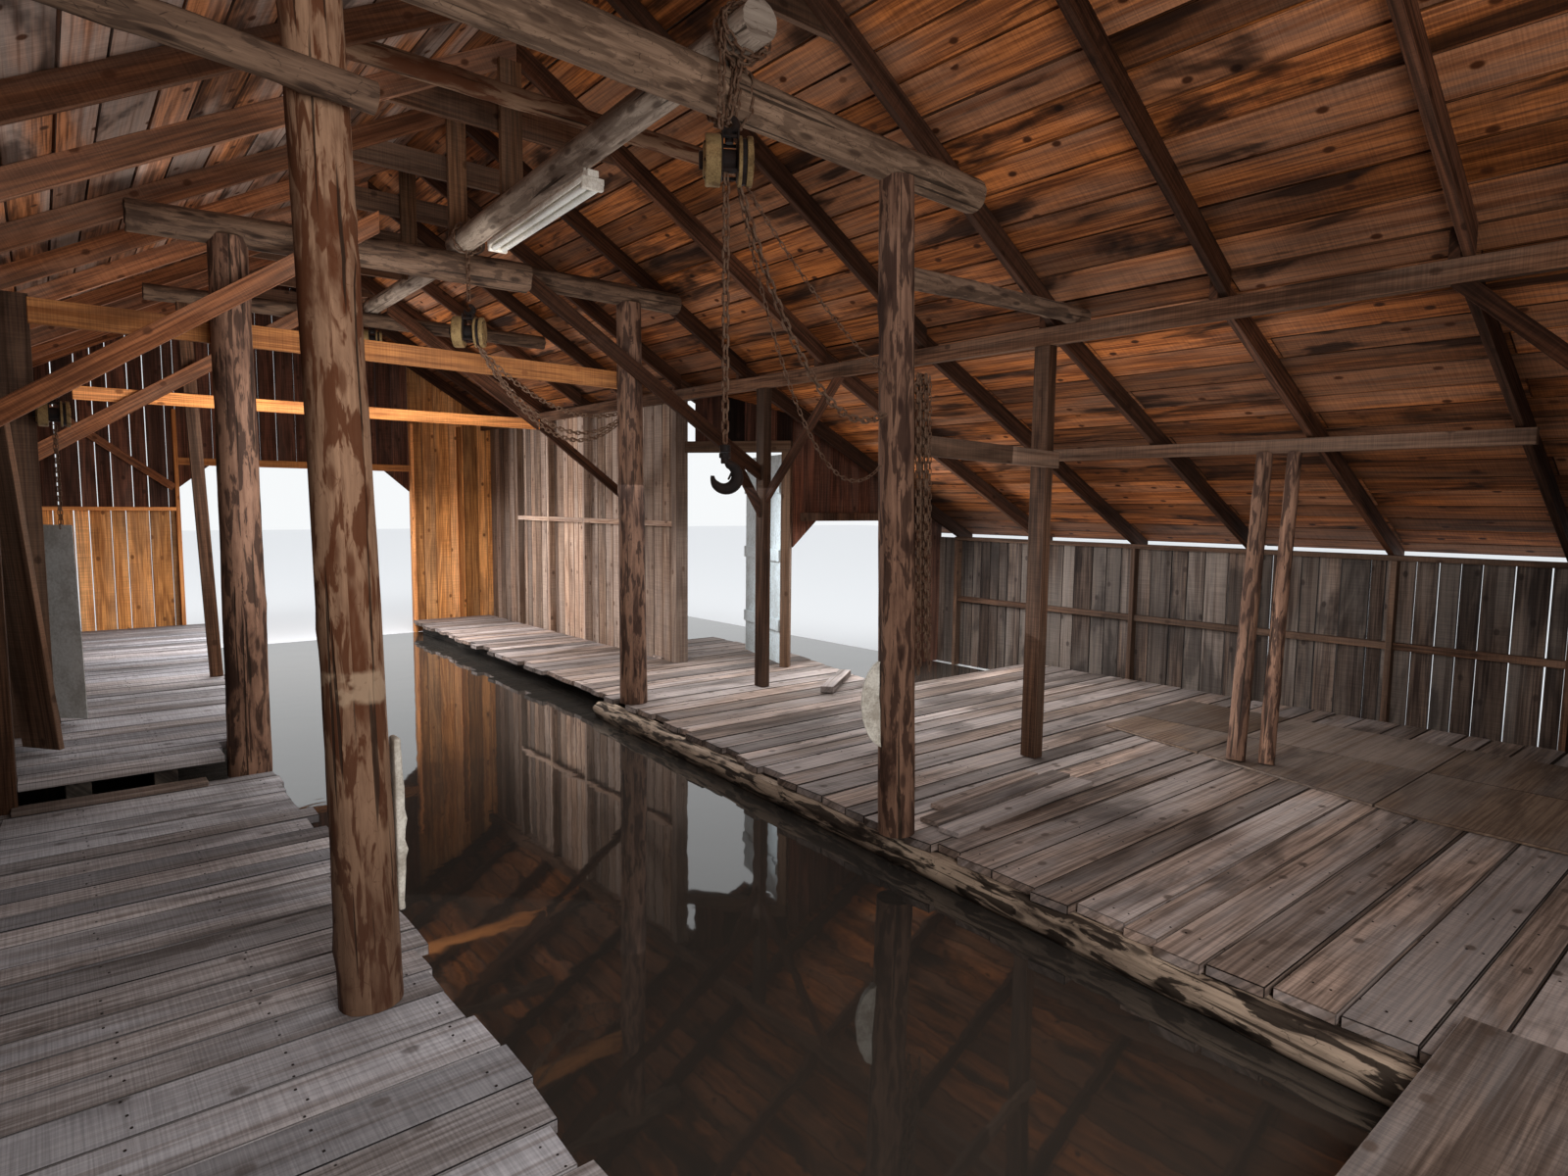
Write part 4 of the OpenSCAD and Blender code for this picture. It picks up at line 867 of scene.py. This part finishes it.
logs("log_posts_peeled", "log_posts", [POST_LOG, DARK_LOG], "peeled_log",
     lambda x, y: x >= 1.5 or y >= 6)
logs("cross_logs_peeled", "cross_logs", [GREY_LOG, BROWN_LOG], "grey_log",
     lambda x, y: y >= 6, rough=1.1, knots=0.8, worn_ends=0.02)
logs("hoist_logs_peeled", "hoist_logs", LIT_HOIST_LOG, "grey_log", rough=0.9, knots=0.7, worn_ends=0.01)
logs("tie_logs_peeled", "tie_logs", [POST_LOG, BROWN_LOG], "peeled_log",
     lambda x, y: y <= 5.5, rough=1.2, bend=0.015)
logs("prop_poles_peeled", "prop_poles", DARK_LOG, "peeled_log", knots=0.8, segments=20)
logs("edge_logs_rotten", "edge_logs", WET_LOG, "grey_log", rough=3.4, knots=1.6, worn_ends=0.08, top=0.140)


# Chains
def link(pitch, width, wire, around=6):
    """One oval chain link, its long way along x, with its pitch."""
    bm = bmesh.new()
    bmesh.ops.create_circle(bm, segments=around, radius=wire / 2)
    put(bm, ((width - wire) / 2, 0, 0), Matrix.Rotation(math.pi / 2, 3, "X"))
    bmesh.ops.spin(bm, geom=bm.verts[:] + bm.edges[:], cent=(0, 0, 0), axis=(0, 0, 1), angle=2 * math.pi,
                   steps=10, use_merge=True)
    bmesh.ops.remove_doubles(bm, verts=bm.verts, dist=0.00001)
    stretch = (pitch + 2 * wire - width) / 2
    for vert in bm.verts:
        vert.co.x += stretch if vert.co.x > 0 else -stretch
    bmesh.ops.recalc_face_normals(bm, faces=bm.faces)
    return mesh_of("link", bm), pitch


def walk(points, step):
    """Places along a path at even steps, each with the direction there."""
    places, left = [], 0.0
    for a, b in zip(points, points[1:]):
        run = b - a
        way = run.normalized()
        at = left
        while at <= run.length:
            places.append((a + way * at, way))
            at += step
        left = at - run.length
    return places


def chains(kind, paths):
    """Chains along paths, each link a quarter turn from the one before."""
    bm = bmesh.new()
    shape, pitch = kind
    for points in paths:
        roll = 0.4
        for spot, way in walk(points, pitch):
            side = way.cross(Z).normalized() if abs(way.z) < 0.95 else way.orthogonal().normalized()
            frame_of = Matrix((way, side, way.cross(side))).transposed().to_4x4()
            place = Matrix.Translation(spot) @ frame_of @ Matrix.Rotation(roll, 4, "X")
            before = len(bm.verts)
            bm.from_mesh(shape)
            bm.verts.ensure_lookup_table()
            bmesh.ops.transform(bm, matrix=place, verts=bm.verts[before:])
            roll += math.pi / 2
    return bm


def sagging(a, b, sag, count=40):
    steps = (i / count for i in range(count + 1))
    return [a + (b - a) * t - Vector((0, 0, 4 * sag * t * (1 - t))) for t in steps]


def ring(centre, first, second, radius, count=40):
    turns = (2 * math.pi * i / count for i in range(count + 1))
    return [centre + (first * math.cos(t) + second * math.sin(t)) * radius for t in turns]


HOIST_FALL, POST_FOOT, POST_TAPER = 0.01428, 0.130, 0.13
hoist_way = (plan(2.84, 8.108, 0) - plan(2.69, 4.31, 0)).normalized()
hoist_side = hoist_way.cross(Z).normalized()


def under_log(d, drop=0.0):
    """A point below the hoist log, d from its shore end."""
    return plan(2.69, 4.31, 3.7712) + hoist_way * d - Vector((0, 0, HOIST_FALL * d + drop))


def by_post(foot, head, radius, top, z, turn, clear):
    """A point beside a tapered post, at a height and a turn in degrees, and clear of its bark."""
    t, turn = (z - POST_FOOT) / (top - POST_FOOT), math.radians(turn)
    reach = radius * (1 - POST_TAPER * t) + clear
    at = Vector(foot).lerp(Vector(head), t)
    return plan(at.x + reach * math.cos(turn), at.y + reach * math.sin(turn), z)


def on_p2(z, turn, clear):
    return by_post((3.870, 4.576), (3.736, 4.550), 0.100, 3.614, z, turn, clear)


def on_p3(z, turn, clear):
    return by_post((4.359, 8.206), (4.325, 8.206), 0.120, 3.688, z, turn, clear)


def tails(*rows):
    """Chains that hang beside the second post, from turn, clearance and lowest height."""
    return [[on_p2(2.58, turn, clear), on_p2(low, turn, clear)] for turn, clear, low in rows]


front = under_log(0.15) - hoist_side * 0.048
loop = front - hoist_side * 0.014
sling = front - Z * 0.235
wall_hoist = plan(0.492, 9.017, 0)
heavy = chains(link(0.044, 0.039, 0.0112), [
    [loop - Z * 0.49, loop - Z * 1.57],
    sagging(plan(2.708, 4.460, 3.240), on_p2(2.40, 188, 0.012), 0.330),
    sagging(plan(2.90, 7.854, 3.042), on_p3(2.64, 176, 0.012), 0.300),
    sagging(plan(2.888, 7.832, 3.042), on_p3(2.61, 172, 0.012), 0.345),
    sagging(plan(2.875, 7.81, 3.042), on_p3(2.70, 184, 0.012), 0.180),
    ring(under_log(0.13) + Z * 0.085, hoist_side, Z, 0.10),
    ring(under_log(0.165) + Z * 0.085, hoist_side, Z, 0.103),
    ring(plan(2.72, 4.60, 3.672), Y, Z, 0.113),
    ring(plan(2.79, 4.60, 3.670), Y, Z, 0.112),
    ring(under_log(3.56) + Z * 0.085, hoist_side, Z, 0.10),
    [under_log(0.14, 0.015), sling],
    [under_log(0.17, 0.015), sling],
    [under_log(3.56, 0.015), under_log(3.56, 0.365)],
    ring(plan(3.004, 10.921, 3.832), X, Z, 0.088),
    *tails((-56, 0.018, 1.05), (-40, 0.034, 1.35), (-50, 0.056, 1.16), (-30, 0.022, 1.42)),
    ring(on_p2(2.56, -45, 0.035), hoist_side, Z, 0.035),
    [under_log(0.10, -0.03) - hoist_side * 0.115, under_log(0.06, 0.36) - hoist_side * 0.15],
    ring(under_log(0.10) + Z * 0.084, hoist_side, Z + Y * 0.25, 0.104),
    [under_log(0.20, 0.015), front + hoist_side * 0.02 - Z * 0.235]])
piece("heavy_chains", heavy, CHAIN, ("hoist_chains",), smooth=True)
hand_loops = []
for step in range(4):
    spot = wall_hoist + Vector((0.012 * (step % 2) - 0.006, 0.014 * step - 0.02, 0))
    hand_loops.append([spot + Z * 2.40, spot + Z * (1.72 + 0.05 * step)])
fine = chains(link(0.031, 0.021, 0.0052, 5), [
    sagging(plan(2.722, 4.430, 3.246), on_p2(2.60, 185, 0.008), 0.060),
    sagging(plan(2.722, 4.490, 3.246), on_p2(2.15, 175, 0.008), 0.480),
    *tails((-47, 0.075, 1.08), (-36, 0.060, 1.22)), *hand_loops])
piece("hand_chains", fine, CHAIN, smooth=True)


# Chain hoists
def disc(bm, centre, axis, radius, thick, segments=36, ease_by=0.004, dish=0.0):
    """A round cover: a cylinder with a rounded rim and a raised middle."""
    part = bmesh.new()
    bmesh.ops.create_cone(part, cap_ends=True, segments=segments, radius1=radius, radius2=radius, depth=thick)
    if dish:
        faces = [f for f in part.faces if f.normal.z > 0.9]
        for share in (0.25, 0.08):
            bmesh.ops.inset_region(part, faces=faces, thickness=radius * share)
        move(part, (0, 0, dish), list({v for f in faces for v in f.verts}))
    ease(part, ease_by, 2, 0.5)
    put(part, centre, Z.rotation_difference(Vector(axis)).to_matrix())
    pour(bm, part)


def block(bm, centre, size, turn=Matrix.Identity(3), ease_by=0.004, segments=2):
    part = cube(size)
    ease(part, ease_by, segments, 0.5)
    put(part, centre, turn)
    pour(bm, part)


HOOK_START, HOOK_SWEEP = math.radians(-95), math.radians(272)


def round_hook(bm, eye_at, turn, size, wire):
    """A forged hook: a thick shank, a round bend that is fattest at the bottom, and a point."""
    part = bmesh.new()
    bmesh.ops.create_circle(part, segments=14, radius=wire * 0.62)
    put(part, (size, 0, 0), Matrix.Rotation(math.pi / 2, 3, "X"))
    put(part, (0, 0, 0), Matrix.Rotation(HOOK_START, 3, "Z"))
    bmesh.ops.spin(part, geom=part.verts[:] + part.edges[:], cent=(0, 0, 0), axis=(0, 0, 1),
                   angle=HOOK_SWEEP, steps=26, use_merge=False)
    bmesh.ops.holes_fill(part, edges=[e for e in part.edges if e.is_boundary], sides=0)
    for vert in part.verts:
        angle = math.atan2(vert.co.y, vert.co.x)
        share = min(1.0, (angle - HOOK_START) % (2 * math.pi) / HOOK_SWEEP)
        ring_at = Vector((math.cos(angle), math.sin(angle), 0)) * size
        fat = 1.0 + 0.7 * math.sin(math.pi * min(1, share * 1.1)) - 0.5 * max(0, share - 0.85) / 0.15
        vert.co = ring_at + (vert.co - ring_at) * fat
    bmesh.ops.recalc_face_normals(part, faces=part.faces)
    upright = Matrix.Rotation(math.pi / 2, 3, "X") @ Matrix.Rotation(math.radians(185), 3, "Z")
    put(part, eye_at, Matrix.Rotation(turn, 3, "Z") @ upright)
    pour(bm, part)


covers, frames = fresh(), fresh()


def hoist(top, turn, s):
    """Gear cover, hand wheel and its cover, side plates, rivets and the top hook of one chain hoist."""
    spin = Matrix.Rotation(turn, 3, "Z")
    wide, deep = spin @ X, spin @ Y
    centre = top - Z * 0.150 * s
    disc(covers, centre + deep * 0.058 * s, deep, 0.088 * s, 0.056 * s, 40, 0.010 * s, 0.008 * s)
    disc(frames, centre + deep * 0.096 * s, deep, 0.034 * s, 0.024 * s, 6, 0.003 * s)
    disc(covers, centre - deep * 0.072 * s, -deep, 0.085 * s, 0.022 * s, 40, 0.006 * s, 0.004 * s)
    disc(covers, centre - deep * 0.038 * s, -deep, 0.085 * s, 0.014 * s, 40, 0.004 * s)
    disc(frames, centre - deep * 0.054 * s, deep, 0.078 * s, 0.022 * s, 18, 0.003 * s)
    for side in (0.026, -0.030):
        plate = (0.118 * s, 0.007 * s, 0.150 * s)
        block(frames, centre + deep * side * s + Z * 0.02 * s, plate, spin, 0.003)
    disc(frames, centre, deep, 0.040 * s, 0.050 * s, 24, 0.004 * s)
    for across, rise in ((-0.045, 0.07), (0.045, 0.07), (-0.045, -0.045), (0.045, -0.045)):
        spot = centre + wide * across * s + Z * rise * s
        disc(frames, spot, deep, 0.007 * s, 0.066 * s, 12, 0.001)
    for step in range(6):
        angle = math.pi / 3 * step + 0.3
        spot = centre + wide * math.cos(angle) * 0.066 * s + Z * math.sin(angle) * 0.066 * s
        for off in (0.088, -0.083):
            disc(frames, spot + deep * off * s, deep, 0.005 * s, 0.006 * s, 8, 0.001)
    disc(frames, top - Z * 0.066 * s, Z, 0.016 * s, 0.044 * s, 16, 0.002)
    round_hook(frames, top - Z * 0.024 * s, turn + math.pi / 2, 0.025 * s, 0.014 * s)


hoist(front - Z * 0.25, math.radians(57), 1.15)
hoist(under_log(3.56, 0.38), math.atan2(hoist_way.y, hoist_way.x) - math.radians(30), 1.25)
hoist(plan(3.004, 10.921, 3.685), math.radians(75), 1.05)
hoist(wall_hoist + Z * 2.64, math.pi / 2, 1.0)
piece("hoist_covers", covers, TAN_PAINT, ("chain_hoists",))
piece("hoist_frames", frames, IRON)

hook = fresh()
hook_top = front - Z * (0.25 + 0.2383 + 1.09) - hoist_side * 0.014
disc(hook, hook_top - Z * 0.016, Z, 0.024, 0.032, 24, 0.004)
disc(hook, hook_top - Z * 0.045, Z, 0.026, 0.022, 6, 0.003)
disc(hook, hook_top - Z * 0.066, Z, 0.018, 0.026, 20, 0.003)
turn = math.radians(150)
round_hook(hook, hook_top - Z * 0.132, turn, 0.053, 0.026)
swing = Matrix.Rotation(turn, 3, "Z")
block(hook, hook_top - Z * 0.112 + swing @ Vector((-0.030, 0, 0)), (0.008, 0.020, 0.075),
      swing @ Matrix.Rotation(math.radians(-25), 3, "Y"), 0.002)
piece("load_hook_forged", hook, IRON, ("load_hook",))


# Side door
PIN_SET, RIB_COUNT, LEAF_H, LEAF_EDGE, SILL = 0.0582, 8, 2.27, 0.008, 0.210


def door_axes():
    """The hinge pin, the leaf's turn as the photograph shows it, and its length."""
    hinge, strike = Vector((6.52, 8.79, 0)), Vector((5.885, 9.65, 0))
    way = (strike - hinge).normalized()
    turn = math.atan2(way.y, way.x)
    pin = Vector((hinge.x + PIN_SET * math.sin(turn), hinge.y - PIN_SET * math.cos(turn), 0))
    return plan(*pin), turn - math.radians(53), (strike - hinge).length


def ribbed_leaf():
    """Upright ribbed sheets on three ledges, set in a little from the leaf's edges."""
    pin, turn, run = door_axes()
    width = run - 2 * LEAF_EDGE
    pitch = width / RIB_COUNT
    made, rng = fresh(), random.Random("leaf")
    for index in range(RIB_COUNT):
        rib = cube((pitch - 0.004, 0.016, LEAF_H))
        faces = [f for f in rib.faces if f.normal.y < -0.9]
        bmesh.ops.inset_region(rib, faces=faces, thickness=0.018)
        move(rib, (0, 0.006, 0), list({v for f in faces for v in f.verts}))
        ease(rib, 0.0015, 2, 0.3)
        move(rib, (LEAF_EDGE + pitch * (index + 0.5), 0.0202, SILL + LEAF_H / 2))
        grain(rib, Z, rng)
        pour(made, rib)
    for z in (0.42, 1.18, 1.92):
        at = Vector((LEAF_EDGE + width / 2, 0.0412, z + SILL))
        block(made, at, (width, 0.018, 0.128), ease_by=0.003)
    put(made, pin, Matrix.Rotation(turn, 3, "Z"))
    return piece("door_leaf_ribbed", made, DOOR_PAINT, ("door_leaf",), DOOR)


ribbed_leaf()
for name in ("leaf_straps", "hinge_pins"):
    nodes[name].data.materials.clear()
    nodes[name].data.materials.append(STEEL)


# Light fixture
def fixture():
    """A twin tube strip light: tray, side lips, end plates, hangers and two tubes."""
    tray, tubes = fresh(), fresh()
    along = (hoist_way - Z * HOIST_FALL).normalized()
    lean = Matrix((hoist_side, along, hoist_side.cross(along))).transposed()
    mid = under_log(2.16, 0.07) - hoist_side * 0.036
    block(tray, mid - Z * 0.020, (0.064, 1.436, 0.036), lean)
    block(tray, mid - Z * 0.046, (0.124, 1.436, 0.014), lean)
    for side in (-1, 1):
        block(tray, mid - Z * 0.058 + hoist_side * side * 0.059, (0.005, 1.436, 0.030), lean, 0.001, 1)
    for end in (-0.702, 0.702):
        block(tray, mid + along * end - Z * 0.076, (0.122, 0.032, 0.052), lean, 0.006)
    for side in (-0.031, 0.031):
        disc(tubes, mid + hoist_side * side - Z * 0.084, along, 0.0185, 1.372, 20, 0.002)
    for end in (-0.53, 0.53):
        at = mid + along * end + hoist_side * 0.036 + Z * 0.034
        block(tray, at, (0.012, 0.02, 0.072), lean, 0.001, 1)
    smooth_sides(piece("fixture_tray", tray, WHITE_PAINT, ("light_fixture",)))
    smooth_sides(piece("fixture_tubes", tubes, TUBES))


fixture()


# Bumpers, water, loose timber
def bumper(target, centre, height, depth, width, crown):
    """A worn dock bumper: an upright pad, crowned along its length."""
    part = cube((depth, width, height))
    tall = [e for e in part.edges if abs(e.verts[0].co.z - e.verts[1].co.z) > height * 0.9]
    bmesh.ops.subdivide_edges(part, edges=tall, cuts=16, use_grid_fill=True)
    for vert in part.verts:
        share = vert.co.z / height * 2
        if vert.co.x < 0:
            vert.co.x -= crown * (1 - share * share) - 0.006 * noise.noise(vert.co * 30)
    ease(part, 0.008, 2, 0.8)
    put(part, centre, Matrix.Rotation(math.pi, 3, "Z"))
    pour(target, part)


def half_moon(target, centre, turn, tall, deep, thick):
    """A fan-shaped bumper: half an oval, with a raised and notched rim."""
    part = bmesh.new()
    rim = [(deep * math.cos(t), tall * math.sin(t)) for t in (math.pi * (i / 24 - 0.5) for i in range(25))]
    flat = part.faces.new([part.verts.new((x, 0, z)) for x, z in rim])
    grown = bmesh.ops.extrude_face_region(part, geom=[flat])
    move(part, (0, thick, 0), [v for v in grown["geom"] if isinstance(v, bmesh.types.BMVert)])
    bmesh.ops.recalc_face_normals(part, faces=part.faces)
    for side in [f for f in part.faces if abs(f.normal.y) > 0.9]:
        bmesh.ops.inset_region(part, faces=[side], thickness=0.022)
        move(part, -side.normal * 0.008, list(side.verts))
    ease(part, 0.003, 1, 0.8)
    for index in range(1, 18):
        t = math.pi * (index / 18 - 0.5)
        spot = Vector(((deep - 0.011) * math.cos(t), -0.001, (tall - 0.011) * math.sin(t)))
        disc(part, spot, -Y, 0.0045, 0.006, 8, 0.001)
    put(part, centre, Matrix.Rotation(turn, 3, "Z"))
    pour(target, part)


pads = fresh()
half_moon(pads, plan(3.80, 4.62, 0.90), math.radians(140), 0.235, 0.125, 0.05)
bumper(pads, plan(1.305, 4.586, 0.81), 0.62, 0.024, 0.07, 0.006)
smooth_sides(piece("post_bumper_pads", pads, VINYL, ("post_bumpers",)))

pool = bmesh.new()
bmesh.ops.create_grid(pool, x_segments=2, y_segments=2, size=1)
bmesh.ops.scale(pool, verts=pool.verts, vec=(8.82 / 2, 14.86 / 2, 1))
move(pool, (0, 0, 0.004))
piece("still_water", pool, still_water())


def plank(target, rng, a, b, wide, thick):
    """A loose board lying between two points of the plan."""
    a, b = plan(*a), plan(*b)
    way = (b - a).normalized()
    side = way.cross(Z).normalized()
    part = cube(((b - a).length, wide, thick))
    ease(part, 0.003, 1)
    put(part, (a + b) / 2, Matrix((way, side, side.cross(way))).transposed())
    grain(part, way, rng)
    pour(target, part)


loose, leaning, sheet, rng = fresh(), fresh(), fresh(), random.Random("loose")
plank(loose, rng, (4.04, 4.36, 0.206), (5.42, 4.42, 0.206), 0.14, 0.03)
plank(loose, rng, (4.08, 4.53, 0.204), (5.46, 4.60, 0.204), 0.13, 0.026)
plank(loose, rng, (4.30, 4.66, 0.206), (5.30, 4.72, 0.206), 0.10, 0.03)
plank(loose, rng, (5.98, 7.45, 0.222), (6.72, 7.98, 0.222), 0.12, 0.06)
plank(loose, rng, (0.18, 7.77, 0.205), (1.10, 7.77, 0.205), 0.12, 0.028)
plank(leaning, rng, (0.33, 8.62, 0.36), (0.17, 8.50, 2.45), 0.30, 0.035)
plank(leaning, rng, (0.40, 9.40, 0.36), (0.19, 9.36, 2.30), 0.16, 0.03)
plank(sheet, rng, (0.46, 9.52, 0.36), (0.44, 9.50, 1.75), 0.34, 0.006)
piece("loose_planks", loose, DECK_BROWN)
piece("leaning_planks", leaning, DARK_TIMBER)
piece("leaning_panel", sheet, SHEET)


# Nails
def nails():
    """Nail heads in rows where the deck boards cross their sleepers."""
    head = bmesh.new()
    bmesh.ops.create_cone(head, cap_ends=True, segments=6, radius1=0.005, radius2=0.004, depth=0.002)
    mesh = mesh_of("nail", head)
    made, rng = bmesh.new(), random.Random("nails")
    rows = [(0.48, 1.2, 7.7, LOW_DECK), (0.90, 1.2, 7.7, LOW_DECK), (1.36, 1.2, 7.7, LOW_DECK),
            (0.48, 7.9, 14.8, HIGH_DECK), (0.90, 7.9, 14.8, HIGH_DECK), (4.71, 1.3, 9.4, LOW_DECK),
            (5.12, 1.3, 9.4, LOW_DECK), (6.0, 1.3, 7.2, LOW_DECK), (3.95, 1.3, 4.2, LOW_DECK)]
    for x, y, end, z in rows:
        while y < end:
            spot = plan(x + rng.uniform(-0.02, 0.02), y, z - 0.0005)
            before = len(made.verts)
            made.from_mesh(mesh)
            made.verts.ensure_lookup_table()
            move(made, spot, made.verts[before:])
            y += rng.uniform(0.05, 0.12)
    piece("deck_nails", made, IRON)


nails()


# Floor, world and lamps
floor = bmesh.new()
bmesh.ops.create_grid(floor, x_segments=1, y_segments=1, size=60)
move(floor, (0, 0, -0.01))
ground = bpy.data.objects.new("floor", mesh_of("floor", floor))
scene.collection.objects.link(ground)
ground.data.materials.append(Surface("pale floor").done((0.80, 0.80, 0.79, 1), Roughness=0.9))

world = bpy.data.worlds.new("studio")
world.use_nodes = True
scene.world = world
world.node_tree.nodes.clear()
sky = Graph(world.node_tree)
rays = sky.add("ShaderNodeLightPath").outputs
shown = sky.math("MAXIMUM", rays["Is Camera Ray"], rays["Is Glossy Ray"])
shown = sky.math("MAXIMUM", shown, rays["Is Transmission Ray"])
plain = sky.add("ShaderNodeBackground", Color=(0.92, 0.95, 1.0, 1), Strength=1.05).outputs[0]
pale = sky.add("ShaderNodeBackground", Color=(0.93, 0.95, 0.96, 1), Strength=1.0).outputs[0]
both = sky.add("ShaderNodeMixShader", i0=shown, i1=plain, i2=pale).outputs[0]
sky.add("ShaderNodeOutputWorld", i0=both)


def lamp(name, at, aim, size, power, colour=(1, 1, 1)):
    """A soft lamp of a size, between two points of the plan. Neither eye nor mirror sees it."""
    at, aim = plan(*at), plan(*aim)
    data = bpy.data.lights.new(name, "AREA")
    data.energy, data.color = power, colour
    data.shape, data.size, data.size_y = "RECTANGLE", *size
    obj = bpy.data.objects.new(name, data)
    obj.location = at
    obj.rotation_euler = (aim - at).to_track_quat("-Z", "Y").to_euler()
    scene.collection.objects.link(obj)
    obj.visible_camera = obj.visible_glossy = False


BLUISH, COOL, WARM = (0.92, 0.95, 1.0), (0.97, 0.98, 1.0), (1.0, 0.98, 0.96)
lamp("sky from the lake", (3.2, 14.6, 1.95), (3.2, 8.0, 0.9), (2.6, 0.9), 250, (0.89, 0.93, 1.0))
lamp("sky over the far slip", (3.3, 12.5, 2.15), (3.3, 12.501, 0), (2.6, 3.6), 180, BLUISH)
lamp("sky by the side door", (5.2, 9.4, 2.3), (4.3, 6.5, 0.2), (1.2, 0.8), 75, (0.88, 0.94, 1.0))
lamp("sky over the middle deck", (4.9, 7.6, 2.1), (4.9, 7.601, 0), (1.6, 2.6), 26, (0.90, 0.94, 1.0))
lamp("sky from the wing", (7.5, 8.6, 1.4), (6.8, 5.0, 0.3), (1.3, 0.8), 80, (0.92, 0.96, 1.0))
lamp("sky over the wing deck", (7.3, 6.9, 1.75), (7.3, 6.901, 0), (1.9, 2.8), 74, (0.95, 0.97, 1.0))
lamp("fill by the shore", (1.6, 0.7, 2.3), (4.6, 8.0, 1.2), (2.4, 1.6), 165, (0.98, 0.98, 1.0))
lamp("fill from above", (4.0, 6.5, 3.3), (4.0, 6.501, 0), (3.0, 8.0), 20)
lamp("fill on the lake wall", (2.3, 9.3, 2.3), (2.3, 14.0, 1.8), (2.0, 1.0), 42, WARM)
lamp("fill in the middle", (2.6, 6.6, 2.2), (2.4, 14.0, 2.4), (2.0, 1.2), 44, WARM)
lamp("fill on the right wall", (5.2, 4.0, 1.6), (9.0, 5.0, 1.2), (2.0, 1.5), 21)
lamp("fill under the wing roof", (6.0, 5.0, 0.8), (7.3, 4.4, 2.6), (2.0, 4.0), 27)
lamp("fill under the left roof", (2.4, 6.2, 0.6), (0.9, 4.6, 3.4), (1.5, 3.0), 50, COOL)
lamp("daylight", (-6, 2, 16), (4.5, 7.5, 1.0), (8, 8), 1500)

scene.view_settings.view_transform = "Standard"
